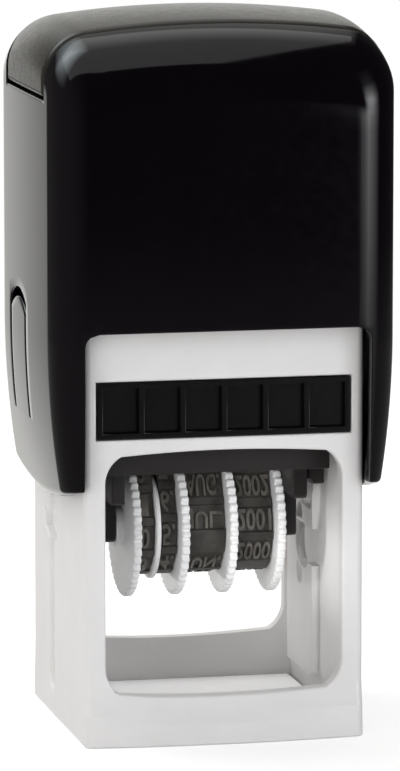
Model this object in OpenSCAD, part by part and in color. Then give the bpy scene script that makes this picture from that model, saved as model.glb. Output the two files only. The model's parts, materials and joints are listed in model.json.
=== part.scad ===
// Self-inking date stamp: a white frame, a black cap that presses down on it, and a date
// unit that flips over between the ink pad above it and the paper below it.
// Millimetres. The origin is on the floor under the middle of the frame, the front faces -Y.

/* [Frame] */
// Width of the frame, side to side
frame_w = 36; // [34:0.5:40]
// Depth of the frame, front to back, above the plinth
frame_d = 33.5; // [32:0.5:38]
// Height of the frame's walls
frame_h = 52.6; // [52:0.1:54]
// Thickness of the frame's walls
frame_wall = 2; // [1.8:0.1:2.4]
// Radius of the frame's upright corners
frame_corner_r = 1; // [0.5:0.1:2]
// Height of the plinth that the frame stands on, at its middle
plinth_h = 2.6; // [2:0.1:4]
// How far the plinth stands out at its corners
plinth_out = 0.85; // [0.4:0.05:1]
// How much further the plinth bows out at the middle of the front and of the back
plinth_bow = 1.05; // [0.5:0.05:1.2]
// Height at which the plinth has faded into the wall
plinth_fade_h = 7.5; // [7:0.1:10]

/* [Windows] */
// Width of the posts beside the front and back windows
post_w = 2.8; // [2.4:0.1:4]
// Height of the front window's lower edge at its middle
window_low = 6; // [5:0.1:7]
// Height of the back window's lower edge at its middle
back_window_low = 7.4; // [5:0.1:8]
// Height of both windows' upper edge at its middle
window_high = 37.3; // [36.5:0.1:37.4]
// Radius of the windows' corners
window_r = 4; // [2:0.1:6]
// Radius of the shallow arcs of the windows' upper and lower edges
window_arc_r = 165; // [120:5:400]

/* [Guide tracks] */
// Middle of the track in each outer side wall, measured from the frame's middle
track_y = 4.6; // [4:0.1:5.5]
// Width of the track
track_w = 3.3; // [3:0.1:4]
// Depth of the track
track_depth = 1.1; // [0.9:0.05:1.1]
// Height of the track's lower end
track_low = 3.4; // [2.5:0.1:3.6]
// Width of the lock pocket that crosses the track
pocket_w = 9.2; // [7:0.1:10]
// Height of the lock pocket
pocket_h = 3.2; // [2.6:0.1:4]
// Height of the lock pocket's middle
pocket_z = 24.7; // [22:0.1:27]

/* [Turning cams] */
// How far each cam stands in from the side wall
cam_raise = 1.05; // [0.8:0.05:1.1]
// Front edge of the cams, which guides the yoke
cam_front = -1.7; // [-2:0.1:-1]
// Rear edge of the cams
cam_rear = 12.2; // [11.5:0.1:13]
// Lower end of the cams
cam_low = 4.6; // [4:0.1:6]
// Upper end of the cams
cam_high = 30; // [29:0.1:30.4]
// Height of the turning pocket's middle
cam_pocket_z = 21.6; // [21:0.1:22.2]
// Radius of the turning pocket
cam_pocket_r = 3.85; // [3.4:0.05:4]

/* [Ink cartridge] */
// Height of the lower edge of the cartridge slot
slot_low = 39.1; // [39:0.1:40]
// Height of the cartridge slot
slot_h = 7; // [6:0.1:7.2]
// Width of the frame on each side of the cartridge's front grip
grip_post = 1.8; // [1.5:0.1:3]
// Number of recessed cells in the grip
grip_cells = 6; // [4:1:8]
// Width of the ribs between the cells
grip_rib = 0.75; // [0.5:0.05:1.2]
// Depth of the cells
grip_cell_depth = 0.9; // [0.5:0.05:1.4]
// Wall of the cartridge round the ink pad
tray_wall = 1.2; // [1:0.1:1.4]
// Height of the ink pad
pad_h = 5; // [4:0.1:5.4]

/* [Cap] */
// How far the cap's sides stand out from the frame's sides
cap_side_out = 4.2; // [3.8:0.1:5]
// How far the cap's front and back stand out from the frame's
cap_front_out = 3.05; // [2.9:0.05:4]
// Height of the cap's lower rim at the middle of its depth
cap_low = 30.4; // [30.2:0.1:31.5]
// How far the rim's front and back ends lie above its middle
cap_rim_bow = 2.6; // [1:0.1:3]
// Thickness of the cap's roof at its middle
roof_t = 6.9; // [6.5:0.1:9]
// Radius of the crowned top from side to side
cap_crown_r = 130; // [100:5:200]
// Radius of the crowned top from front to back
cap_top_r = 61; // [56:1:90]
// Radius of the cap's upper corners seen from the front
cap_corner_r = 6.7; // [5:0.1:8]
// Radius from the cap's front and back to its top
cap_brow_r = 12; // [9:0.1:12]
// How far the brows' arcs reach above the crowned top, which they meet in a soft edge
brow_lift = 0.6; // [0.4:0.1:1]
// Radius of the cap's upright edges
cap_edge_r = 5.6; // [2.5:0.1:6]
// Height below which the cap's sides draw in
cap_waist_z = 51.5; // [50:0.1:56]
// Radius of the drawn-in sides
cap_waist_r = 110; // [100:1:200]
// Radius of the cap's lower outer corners
cap_foot_r = 1; // [0.5:0.1:1.3]
// Thickness of the cap's front and back
cap_wall = 1.8; // [1.5:0.1:2]
// Thickness of the cap's sides
cap_side_wall = 2.2; // [2:0.1:2.6]
// Gap between each side of the frame and the cap's cut-outs
cutout_gap = 0.25; // [0.15:0.05:0.5]
// How far the cut-outs reach above the frame
cutout_over = 0.1; // [0.05:0.05:0.3]
// Radius of the cut-outs' upper corners
cutout_r = 1.7; // [0.5:0.1:3]

/* [Top cover] */
// Depth of the top cover, front to back
cover_d = 25.2; // [20:0.2:27]
// Distance from the crown down to the top cover's lower edge at the sides
cover_drop = 10.6; // [9:0.1:12]
// Thickness of the top cover
cover_wall = 1.7; // [1.4:0.1:1.8]
// Width of the groove round the top cover
cover_gap = 0.3; // [0.15:0.05:0.4]

/* [Lock buttons] */
// Width of each lock button
button_w = 9.6; // [8:0.1:11]
// Height of the buttons' lower end, where they bend
button_low = 39.6; // [39:0.1:41]
// Height of the buttons' upper end
button_high = 54.6; // [53:0.1:56]
// Width of the slits beside the buttons
button_slit = 0.4; // [0.3:0.05:0.6]
// Gap above the buttons
button_top_gap = 1.2; // [0.8:0.1:2]
// Rise of the arched upper end of the buttons
button_arch = 1.6; // [0.5:0.1:2.5]

/* [Stroke] */
// How far the cap presses down
press_travel = 30; // [29:0.1:30]
// Height of the stamping face at rest, under the ink pad
die_face_z = 38.5; // [38.2:0.1:38.6]

/* [Yoke] */
// Thickness of the yoke's arms
arm_t = 1.4; // [1.2:0.1:1.6]
// Front edge of the yoke's arms
arm_front = -6.5; // [-8:0.1:-5.5]
// Distance from the flip axis down to the arms' lower ends
arm_drop = 3.45; // [3.2:0.05:3.8]
// Radius of the flip pins
pin_r = 1.5; // [1.2:0.05:1.8]
// Radius of the lugs round the flip pins
lug_r = 2.85; // [2.6:0.05:3]
// Thickness of the yoke's bridge under the cap's ceiling
bridge_t = 1.9; // [1.5:0.1:2]

/* [Return spring] */
// Radius of the spring, at the middle of its wire
spring_r = 5; // [4.6:0.1:6]
// Thickness of the spring's wire
spring_wire = 0.7; // [0.5:0.05:0.8]
// Turns of the spring
spring_turns = 7; // [5:1:8]

/* [Date unit] */
// Distance from the flip axis down to the wheels' axle
axle_drop = 9.05; // [8.8:0.05:9.4]
// Radius of the thumb wheels
wheel_r = 9.1; // [8.6:0.05:9.3]
// Distance from one thumb wheel to the next
wheel_pitch = 6.25; // [6:0.05:6.3]
// Thickness of the thumb wheels
wheel_t = 1; // [0.8:0.05:1.2]
// Number of teeth on a thumb wheel
wheel_teeth = 48; // [36:1:60]
// Radius of the notches between the teeth
notch_r = 0.3; // [0.2:0.01:0.35]
// Radius of the wheels' drums, which the date bands run on
drum_r = 5.1; // [4.6:0.1:5.4]
// Thickness of the date bands
band_t = 1; // [0.8:0.05:1.1]
// Radius of the bar that the bands turn round at the stamping face
nose_r = 0.7; // [0.5:0.05:0.8]
// Radius of the wheels' axle
axle_r = 0.8; // [0.6:0.05:1]
// Thickness of the disc between the two day bands
spacer_t = 0.6; // [0.4:0.05:0.8]
// Radius of that disc
spacer_r = 6.9; // [6.6:0.1:7.4]

/* [Die carrier] */
// Depth of the carrier, front to back
carrier_d = 25.2; // [24:0.1:26]
// Thickness of the carrier's front and back bars
bar_t = 1.4; // [1:0.1:2]
// Height of the carrier's front and back bars
bar_h = 3; // [2.4:0.1:3.2]
// Thickness of the plate that backs the text plate
backing_t = 1.5; // [1.2:0.1:1.7]
// Thickness of the rubber text plate
text_t = 1.75; // [1.5:0.05:2]
// Thickness of the cheeks that hold the axle
cheek_t = 1.7; // [1.4:0.1:1.8]
// Depth of the upper part of the cheeks
cheek_d = 16.8; // [14:0.1:18]
// Distance from the flip axis down to the step in the cheeks
cheek_step = 5.05; // [4.6:0.05:6]
// Depth of the legs below the step
leg_d = 5; // [4:0.1:6]

/* [Clearances] */
// Gap between parts that slide past each other
slide_gap = 0.6; // [0.4:0.05:0.7]
// Gap between close parts that slide, such as the cartridge and its runners
snug_gap = 0.15; // [0.1:0.05:0.2]
// Gap between parts that swing past each other
swing_gap = 0.35; // [0.3:0.05:0.4]
// Gap all round a turning pin in its hole
pin_gap = 0.05; // [0.02:0.01:0.08]
// Gap all round a pin that is pressed in
press_gap = 0.02; // [0.01:0.01:0.03]
// Gap between the stamping face and the ink pad
ink_gap = 0.8; // [0.75:0.05:1]
// Gap between parts that turn side by side on the axle
side_gap = 0.1; // [0.06:0.01:0.12]
// Gap between the cheeks and the lugs that they swing between
lug_gap = 0.5; // [0.3:0.05:0.6]
// Gap left between the frame's top and the bridge when the cap is pressed
stop_gap = 0.4; // [0.3:0.05:0.5]
// Gap between a lock button's nub and the frame's wall
nub_gap = 0.2; // [0.15:0.05:0.4]
// Hairline under the lock buttons, where they bend
root_gap = 0.05; // [0.03:0.01:0.1]

/* [Hidden] */
$fn = 96;
BIG = 200;
EPS = 0.01;

// Inside faces of the frame, and its openings
window_w = frame_w - 2 * post_w;
grip_w = frame_w - 2 * grip_post;
inner_x = frame_w / 2 - frame_wall;
inner_y = frame_d / 2 - frame_wall;
cam_x = inner_x - cam_raise;

// Widths across the inside of the frame, from the walls inwards
arm_out = inner_x - slide_gap;
arm_in = arm_out - arm_t;
arm_rear = cam_front - swing_gap;
lug_out = cam_x - swing_gap;
lug_in = lug_out - arm_t;
tray_half = arm_in - slide_gap;
runner_lip = 1;
shelf_in = tray_half - runner_lip;
text_half = shelf_in - swing_gap - EPS;
cheek_out = lug_in - lug_gap;
cheek_in = cheek_out - cheek_t;
date_margin = 0.8;
date_half_x = cheek_in - date_margin;
front_bar_half = cam_x - swing_gap;
back_bar_half = arm_in - swing_gap;

// Heights inside the frame
slot_high = slot_low + slot_h;
shelf_t = 1;
shelf_top = slot_low - snug_gap;
deck_t = 1.1;
deck_low = slot_high + snug_gap;
deck_top = deck_low + deck_t;
pad_low = die_face_z + ink_gap;
flip_arm = (die_face_z - press_travel) / 2;
flip_z = press_travel + flip_arm;
axle_z = flip_z - axle_drop;
nose_z = die_face_z - EPS - band_t - nose_r;

// Cap, from the inside out
bridge_low = frame_h + press_travel + stop_gap;
ceiling_z = bridge_low + bridge_t;
cap_high = ceiling_z + roof_t;
cover_low = cap_high - cover_drop;
cutout_high = frame_h + cutout_over;
cutout_half = frame_w / 2 + cutout_gap;
cap_w = frame_w + 2 * cap_side_out;
cap_d = frame_d + 2 * cap_front_out;
cap_in_x = cap_w / 2 - cap_side_wall;
cap_in_y = cap_d / 2 - cap_wall;
cap_neck_x = frame_w / 2 + slide_gap;
cap_neck_z = cover_low - 2 * cap_side_wall;
cap_rim_r = arc_r(cap_d / 2, cap_rim_bow);

// Extrudes a front view along Y, from y0 to y1
module along_y(y0, y1) {
    translate([0, y1, 0]) rotate([90, 0, 0]) linear_extrude(y1 - y0) children();
}

// Extrudes a side view along X, from x0 to x1
module along_x(x0, x1) {
    translate([x0, 0, 0]) rotate([90, 0, 90]) linear_extrude(x1 - x0) children();
}

// Rectangle from one corner to the other
module rect(x0, y0, x1, y1) {
    translate([x0, y0]) square([x1 - x0, y1 - y0]);
}

// Rectangle with four round corners
module round_rect(x0, y0, x1, y1, r) {
    rect(x0 + r, y0, x1 - r, y1);
    rect(x0, y0 + r, x1, y1 - r);
    for (x = [x0 + r, x1 - r], y = [y0 + r, y1 - r]) translate([x, y]) circle(r);
}

// Rectangle whose upper two corners are round
module round_top_rect(x0, y0, x1, y1, r) {
    rect(x0, y0, x1, y1 - r);
    rect(x0 + r, y0, x1 - r, y1);
    for (x = [x0 + r, x1 - r]) translate([x, y1 - r]) circle(r);
}

// Both sides of the object
module both_sides() {
    children();
    mirror([1, 0, 0]) children();
}

// Front view of a window: round corners between shallow upper and lower arcs
module window_view(low) {
    intersection() {
        round_rect(-window_w / 2, low, window_w / 2, window_high, window_r);
        translate([0, window_high - window_arc_r]) circle(window_arc_r, $fn = 360);
        translate([0, low + window_arc_r]) circle(window_arc_r, $fn = 360);
    }
}

// Radius of an arc from half its chord and its rise
function arc_r(half, rise) = (half * half + rise * rise) / (2 * rise);

// Plinth that bows out at the front and fades into the wall above it
module plinth_front() {
    corner = -frame_d / 2 - plinth_out;
    reach = plinth_out + plinth_bow;
    bow_half = frame_w / 2 - frame_corner_r;
    bow_r = arc_r(bow_half, plinth_bow);
    fade_r = arc_r(plinth_fade_h - plinth_h, reach);
    intersection() {
        along_x(-frame_w / 2, frame_w / 2) difference() {
            rect(-frame_d / 2 - reach, 0, -inner_y, plinth_fade_h);
            translate([-frame_d / 2 - fade_r, plinth_fade_h]) circle(fade_r, $fn = 200);
        }
        linear_extrude(plinth_fade_h) {
            round_rect(-frame_w / 2, corner, frame_w / 2, 0, frame_corner_r);
            intersection() {
                translate([0, corner - plinth_bow + bow_r]) circle(bow_r, $fn = 360);
                rect(-bow_half, corner - reach, bow_half, 0);
            }
        }
    }
}

// Side view of the turning cam's solid part: a guide face in front, a turning pocket with a
// thin curved rim, and hollows behind the rim
module cam_view() {
    tip_r = 1;
    pocket_y = cam_front + 5.2;
    pocket_lift = 0.4;
    jaw_half = 2.4;
    jaw_h = 2.5;
    relief_h = 1.3;
    relief_wall = 0.8;
    rim = 0.4;
    hollow_r = 1.55;
    hollow_y = pocket_y + 1.9;
    jaw_top = cam_pocket_z + jaw_half + jaw_h;
    difference() {
        union() {
            rect(cam_front, cam_low + tip_r, cam_rear, cam_high);
            rect(cam_front + tip_r, cam_low, cam_rear, cam_low + tip_r);
            translate([cam_front + tip_r, cam_low + tip_r]) circle(tip_r);
        }
        // Turning pocket, open to the front between two jaws
        intersection() {
            union() {
                translate([pocket_y, cam_pocket_z + pocket_lift]) circle(cam_pocket_r);
                rect(cam_front - 1, cam_pocket_z - jaw_half, pocket_y, cam_pocket_z + jaw_half);
            }
            rect(cam_front - 1, cam_low, cam_rear, cam_pocket_z + jaw_half);
        }
        // Relief above the upper jaw
        round_rect(cam_front + relief_wall, jaw_top, pocket_y + rim, jaw_top + relief_h, relief_h / 2 - EPS);
        // Hollow behind the upper jaw
        intersection() {
            rect(pocket_y + rim, cam_pocket_z + jaw_half + rim, cam_rear, jaw_top);
            translate([hollow_y, jaw_top - hollow_r]) circle(hollow_r);
        }
        // Hollow behind the rim, under the pocket
        difference() {
            translate([hollow_y, cam_pocket_z - cam_pocket_r - rim]) circle(hollow_r);
            translate([pocket_y, cam_pocket_z + pocket_lift]) circle(cam_pocket_r + rim);
        }
    }
}

// Round-ended track with the lock pocket across it, as cut into a side wall
module track_view() {
    end_r = track_w / 2;
    shoulder = pocket_h / 3;
    rect(track_y - end_r, track_low + end_r, track_y + end_r, BIG);
    translate([track_y, track_low + end_r]) circle(end_r);
    polygon([
        [track_y - pocket_w / 2, pocket_z + pocket_h / 2],
        [track_y - pocket_w / 2, pocket_z - pocket_h / 2 + shoulder],
        [track_y - end_r, pocket_z - pocket_h / 2],
        [track_y + end_r, pocket_z - pocket_h / 2],
        [track_y + pocket_w / 2, pocket_z - pocket_h / 2 + shoulder],
        [track_y + pocket_w / 2, pocket_z + pocket_h / 2]
    ]);
}

// White frame: outer walls, runners for the cartridge, deck for the spring and the cams
module base_frame() {
    slot_gap = snug_gap;
    notch_front = arm_front - swing_gap;
    notch_rear = arm_rear + swing_gap;
    guide_in = tray_half + snug_gap;
    guide_t = 1;
    post_r = spring_r - spring_wire / 2 - swing_gap;
    post_h = 3;
    color("whitesmoke") difference() {
        union() {
            difference() {
                union() {
                    linear_extrude(frame_h)
                        round_rect(-frame_w / 2, -frame_d / 2, frame_w / 2, frame_d / 2, frame_corner_r);
                    plinth_front();
                    mirror([0, 1, 0]) plinth_front();
                }
                translate([-inner_x, -inner_y, -1]) cube([2 * inner_x, 2 * inner_y, BIG]);
            }
            both_sides() {
                // Turning cam
                along_x(cam_x, inner_x + EPS) cam_view();
                // Runner under the cartridge
                translate([shelf_in, -inner_y - EPS, shelf_top - shelf_t])
                    cube([inner_x - shelf_in + EPS, 2 * inner_y + 2 * EPS, shelf_t]);
                // Guides beside the cartridge, in front of the arm and behind it
                for (y = [[-inner_y - EPS, notch_front], [notch_rear, inner_y + EPS]])
                    translate([guide_in, y[0], shelf_top - EPS])
                        cube([guide_t, y[1] - y[0], deck_low - shelf_top + 2 * EPS]);
            }
            // Deck over the cartridge, with a post for the spring
            translate([-inner_x - EPS, -inner_y - EPS, deck_low])
                cube([2 * inner_x + 2 * EPS, 2 * inner_y + 2 * EPS, deck_t]);
            translate([0, 0, deck_top - EPS]) cylinder(r = post_r, h = post_h + EPS);
        }
        // Windows
        along_y(-BIG, -inner_y + EPS) window_view(window_low);
        along_y(inner_y - EPS, BIG) window_view(back_window_low);
        // Cartridge slots
        along_y(-frame_d / 2 - 1, -inner_y + EPS)
            rect(-grip_w / 2 - slot_gap, slot_low - slot_gap, grip_w / 2 + slot_gap, slot_high + slot_gap);
        along_y(inner_y - EPS, frame_d / 2 + 1)
            rect(-guide_in, slot_low - slot_gap, guide_in, slot_high + slot_gap);
        both_sides() {
            // Way for the yoke's arm through the runner and the deck
            translate([arm_in - swing_gap, notch_front, shelf_top - shelf_t - 1])
                cube([inner_x - arm_in + swing_gap - EPS, notch_rear - notch_front, deck_top - shelf_top + 4]);
            // Track in the outer wall
            along_x(frame_w / 2 - track_depth, frame_w / 2 + 1) track_view();
        }
    }
}

// Black ink cartridge with a ribbed front grip and an open underside
module ink_tray() {
    grip_t = frame_wall;
    front = -frame_d / 2;
    rear = frame_d / 2 - snug_gap;
    cell_edge = 0.7;
    cell_w = (grip_w - 2 * cell_edge - (grip_cells - 1) * grip_rib) / grip_cells;
    color("#141414") difference() {
        union() {
            translate([-grip_w / 2, front, slot_low]) cube([grip_w, grip_t, slot_h]);
            translate([-tray_half, front + EPS, slot_low]) cube([2 * tray_half, rear - front - EPS, slot_h]);
        }
        for (i = [0 : grip_cells - 1])
            translate([-grip_w / 2 + cell_edge + i * (cell_w + grip_rib), front - 1, slot_low + cell_edge])
                cube([cell_w, 1 + grip_cell_depth, slot_h - 2 * cell_edge]);
        translate([-tray_half + tray_wall, -inner_y + tray_wall, slot_low - 1])
            cube([2 * (tray_half - tray_wall), 2 * (inner_y - tray_wall), pad_low + pad_h - slot_low + 1]);
    }
}

// Felt ink pad, let into the cartridge from below
module ink_pad() {
    half_x = tray_half - tray_wall;
    half_y = inner_y - tray_wall;
    color("#26262c") translate([-half_x, -half_y, pad_low]) cube([2 * half_x, 2 * half_y, pad_h]);
}

// Front view of the cap's drawn-in sides, with inset all round
module waist_view(inset) {
    half = cap_w / 2 - inset;
    r = cap_waist_r - inset;
    rect(-half, cap_waist_z - EPS, half, BIG);
    intersection() {
        rect(-half, cap_low, half, cap_waist_z);
        translate([half - r, cap_waist_z]) circle(r, $fn = 360);
        translate([r - half, cap_waist_z]) circle(r, $fn = 360);
    }
}

// Half section of the bowed lower rim with round outer corners: width along Y, distance from its high axis along X
module rim_section() {
    drop = cap_waist_z - cap_low - cap_rim_bow;
    foot_x = cap_w / 2 - cap_waist_r + sqrt(cap_waist_r * cap_waist_r - drop * drop);
    difference() {
        rect(0, -cap_w, cap_rim_r, cap_w);
        for (side = [0, 1]) mirror([0, side]) difference() {
            rect(cap_rim_r - cap_foot_r, foot_x - cap_foot_r, BIG, BIG);
            translate([cap_rim_r - cap_foot_r, foot_x - cap_foot_r]) circle(cap_foot_r);
        }
    }
}

// Side view of the cap: a brow in front and at the back that runs into the crowned top
module cap_side_view(inset) {
    half = cap_d / 2 - inset;
    r = cap_brow_r - inset;
    span = cap_top_r - cap_brow_r;
    reach = half - r;
    brow_z = cap_high - cap_top_r + sqrt(span * span - reach * reach) + brow_lift;
    rect(-half, cap_low, half, brow_z);
    rect(-reach, cap_low, reach, cap_high + brow_lift);
    for (side = [-1, 1]) translate([side * reach, brow_z]) circle(r);
}

// Half section of the crowned top: width along Y, height above the turning axis along X
module crown_section(inset) {
    half = cap_w / 2 - inset;
    crown = cap_crown_r - inset;
    r = cap_corner_r - inset;
    span = crown - r;
    reach = half - r;
    crown_x = cap_top_r - cap_crown_r;
    corner_x = crown_x + sqrt(span * span - reach * reach);
    tangent = reach * crown / span;
    rect(0, -half, corner_x, half);
    intersection() {
        rect(0, -tangent, BIG, tangent);
        translate([crown_x, 0]) circle(crown, $fn = 360);
    }
    for (side = [-1, 1]) translate([corner_x, side * reach]) circle(r);
}

// Outer form of the cap, drawn in by inset all round
module cap_form(inset) {
    half_x = cap_w / 2 - inset;
    half_y = cap_d / 2 - inset;
    intersection() {
        along_y(-half_y, half_y) waist_view(inset);
        along_x(-half_x, half_x) cap_side_view(inset);
        linear_extrude(cap_high) round_rect(-half_x, -half_y, half_x, half_y, cap_edge_r - inset);
        translate([0, 0, cap_high - cap_top_r]) rotate([0, 90, 0])
            rotate_extrude($fn = 240) crown_section(inset);
        translate([0, 0, cap_low + cap_rim_r]) rotate([0, 90, 0]) rotate_extrude($fn = 240) rim_section();
    }
}

// Hollow of the cap
module cap_hollow() {
    neck_r = 3;
    brow_r = 4.5;
    intersection() {
        along_y(-BIG, BIG) {
            intersection() {
                waist_view(cap_side_wall);
                rect(-BIG, cap_low, BIG, cap_neck_z);
            }
            round_top_rect(-cap_neck_x, cap_low - 1, cap_neck_x, ceiling_z, neck_r);
        }
        along_x(-BIG, BIG) round_top_rect(-cap_in_y, cap_low - 1, cap_in_y, ceiling_z, brow_r);
    }
}

// Side view of a lock button, or of its opening when spread and lift are given
module button_view(spread, lift) {
    half = button_w / 2 + spread;
    top = button_high + lift;
    intersection() {
        rect(track_y - half, button_low, track_y + half, top);
        translate([track_y, top - arc_r(half, button_arch)]) circle(arc_r(half, button_arch));
    }
}

// Glossy black cap, open below, with a cut-out in front and at the back
module cap_shell() {
    rib_w = track_w - 2 * swing_gap;
    rib_low = track_low + press_travel + rib_w / 2;
    rib_high = button_low - rib_w / 4;
    color("#0c0c0e") {
        difference() {
            union() {
                difference() {
                    cap_form(0);
                    translate([-BIG / 2, -cover_d / 2, cover_low]) cube([BIG, cover_d, BIG]);
                }
                cap_form(cover_wall);
            }
            cap_hollow();
            along_y(-BIG, BIG) round_top_rect(-cutout_half, cap_low - 1, cutout_half, cutout_high, cutout_r);
            both_sides() along_x(cap_neck_x, BIG) button_view(button_slit, button_top_gap);
        }
        // Guide ribs that run in the frame's tracks
        both_sides() translate([frame_w / 2 - track_depth + swing_gap, track_y - rib_w / 2, rib_low])
            cube([cap_in_x - frame_w / 2 + track_depth - swing_gap + EPS, rib_w, rib_high - rib_low]);
    }
}

// Matt cover over the top of the cap and its upper sides
module top_cover() {
    color("#1c1c1e") intersection() {
        difference() {
            cap_form(0);
            cap_form(cover_wall - EPS);
        }
        translate([-BIG / 2, -cover_d / 2 + cover_gap, cover_low + cover_gap])
            cube([BIG, cover_d - 2 * cover_gap, BIG]);
    }
}

// Lock button: a tongue of the cap's side wall with a nub over the frame's track
module lock_button() {
    nub_w = track_w - 2 * swing_gap;
    nub_h = 2;
    nub_z = button_high - button_arch - nub_h;
    nub_in = frame_w / 2 + nub_gap;
    intersection() {
        cap_form(0);
        along_x(cap_in_x, BIG) intersection() {
            button_view(0, 0);
            rect(-BIG, button_low + root_gap, BIG, BIG);
        }
    }
    translate([nub_in, track_y - nub_w / 2, nub_z - nub_h / 2]) cube([cap_in_x - nub_in + EPS, nub_w, nub_h]);
}

module left_lock_button() {
    color("#0c0c0e") mirror([1, 0, 0]) lock_button();
}

module right_lock_button() {
    color("#0c0c0e") lock_button();
}

// Bracket under the cap's ceiling whose arms carry the date unit
module yoke_bracket() {
    arm_low = flip_z - arm_drop;
    boss_r = spring_r - spring_wire / 2 - swing_gap;
    boss_h = 2;
    bridge_half_y = -arm_front;
    color("#1a1818") difference() {
        union() {
            translate([-arm_out, -bridge_half_y, bridge_low]) cube([2 * arm_out, 2 * bridge_half_y, bridge_t]);
            translate([0, 0, bridge_low - boss_h]) cylinder(r = boss_r, h = boss_h + EPS);
            both_sides() {
                translate([arm_in, arm_front, arm_low])
                    cube([arm_t, arm_rear - arm_front, bridge_low - arm_low + EPS]);
                along_x(lug_in, lug_out) {
                    translate([0, flip_z]) circle(lug_r);
                    rect(arm_front, flip_z - lug_r, 0, flip_z + lug_r);
                }
            }
        }
        along_x(-BIG, BIG) translate([0, flip_z]) circle(pin_r + pin_gap);
    }
}

// Point of the spring's helix: angle in degrees from the lower end
function helix_point(a, low, rise) = [spring_r * cos(a), spring_r * sin(a), low + rise * a / 360];

// Return spring: one round wire wound into a helix, swept ring by ring
module return_spring() {
    rings_per_turn = 8;
    sides = 6;
    wire_r = spring_wire / 2;
    low = deck_top + wire_r;
    high = bridge_low - wire_r;
    rise = (high - low) / spring_turns;
    count = spring_turns * rings_per_turn;
    slope = atan(rise / (2 * PI * spring_r));
    echo(str("least gap between the spring's turns: ", rise * cos(slope) - spring_wire, " mm"));
    points = [
        for (i = [0 : count]) let (a = 360 * i / rings_per_turn, c = helix_point(a, low, rise))
            for (k = [0 : sides - 1]) let (b = 360 * k / sides)
                c + wire_r * (cos(b) * [cos(a), sin(a), 0]
                    + sin(b) * [sin(a) * sin(slope), -cos(a) * sin(slope), cos(slope)])
    ];
    walls = [
        for (i = [0 : count - 1], k = [0 : sides - 1])
            let (p = i * sides + k, q = i * sides + (k + 1) % sides)
                each [[p, p + sides, q], [q, p + sides, q + sides]]
    ];
    last = count * sides;
    caps = [
        for (k = [1 : sides - 2]) each [[0, k, k + 1], [last, last + k + 1, last + k]]
    ];
    color("silver") polyhedron(points, concat(walls, caps));
}

// Side view of a belt round the drum's radius below and the nose bar's radius above
module belt_view(low_r, high_r) {
    span = nose_z - axle_z;
    lean = asin((low_r - high_r) / span);
    translate([0, axle_z]) circle(low_r);
    translate([0, nose_z]) circle(high_r);
    polygon([
        [-low_r * cos(lean), axle_z + low_r * sin(lean)],
        [low_r * cos(lean), axle_z + low_r * sin(lean)],
        [high_r * cos(lean), nose_z + high_r * sin(lean)],
        [-high_r * cos(lean), nose_z + high_r * sin(lean)]
    ]);
}

// Carrier of the text plate and of the date wheels
module die_carrier() {
    backing_top = die_face_z - text_t;
    bar_low = backing_top - bar_h;
    date_half_y = 3.2;
    leg_low = axle_z - axle_r - 1;
    step_z = flip_z - cheek_step;
    corner_r = 0.8;
    color("#2a2624") difference() {
        union() {
            translate([-cheek_out, -carrier_d / 2 + EPS, backing_top - backing_t])
                cube([2 * cheek_out, carrier_d - 2 * EPS, backing_t]);
            translate([-front_bar_half, -carrier_d / 2, bar_low]) cube([2 * front_bar_half, bar_t, bar_h]);
            translate([-back_bar_half, carrier_d / 2 - bar_t, bar_low]) cube([2 * back_bar_half, bar_t, bar_h]);
            both_sides() along_x(cheek_in, cheek_out) {
                round_rect(-cheek_d / 2, step_z, cheek_d / 2, backing_top - EPS, corner_r);
                round_rect(-leg_d / 2, leg_low, leg_d / 2, step_z + 2 * corner_r, corner_r);
            }
        }
        translate([-cheek_in, -date_half_y, backing_top - backing_t - 1])
            cube([2 * cheek_in, 2 * date_half_y, backing_t + 2]);
        along_x(-BIG, BIG) translate([0, axle_z]) circle(axle_r + press_gap);
        along_x(-BIG, BIG) translate([0, flip_z]) circle(pin_r + press_gap);
    }
}

// Rubber text plate with an opening for the date bands
module text_plate() {
    date_half_y = nose_r + band_t + 2 * swing_gap;
    color("#3c3a39") difference() {
        translate([-text_half, -text_half, die_face_z - text_t]) cube([2 * text_half, 2 * text_half, text_t]);
        translate([-date_half_x, -date_half_y, die_face_z - text_t - 1])
            cube([2 * date_half_x, 2 * date_half_y, text_t + 2]);
    }
}

// Steel pin that the carrier flips on
module flip_pin() {
    color("silver") translate([cheek_in, 0, flip_z]) rotate([0, 90, 0]) cylinder(r = pin_r, h = lug_out - cheek_in);
}

module left_flip_pin() {
    mirror([1, 0, 0]) flip_pin();
}

module right_flip_pin() {
    flip_pin();
}

module wheel_axle() {
    color("silver") translate([-cheek_out, 0, axle_z]) rotate([0, 90, 0]) cylinder(r = axle_r, h = 2 * cheek_out);
}

// Places of the wheels and of the room between them, from left to right
function wheel_x(i) = (i - 1.5) * wheel_pitch;
function wheel_left(i) = wheel_x(i) - wheel_t / 2;
function wheel_right(i) = wheel_x(i) + wheel_t / 2;
spacer_x = (wheel_right(0) + wheel_left(1)) / 2;
band_left = [wheel_right(0), spacer_x + spacer_t / 2, wheel_right(1), wheel_right(2)];
band_right = [spacer_x - spacer_t / 2, wheel_left(1), wheel_left(2), wheel_left(3)];

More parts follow.
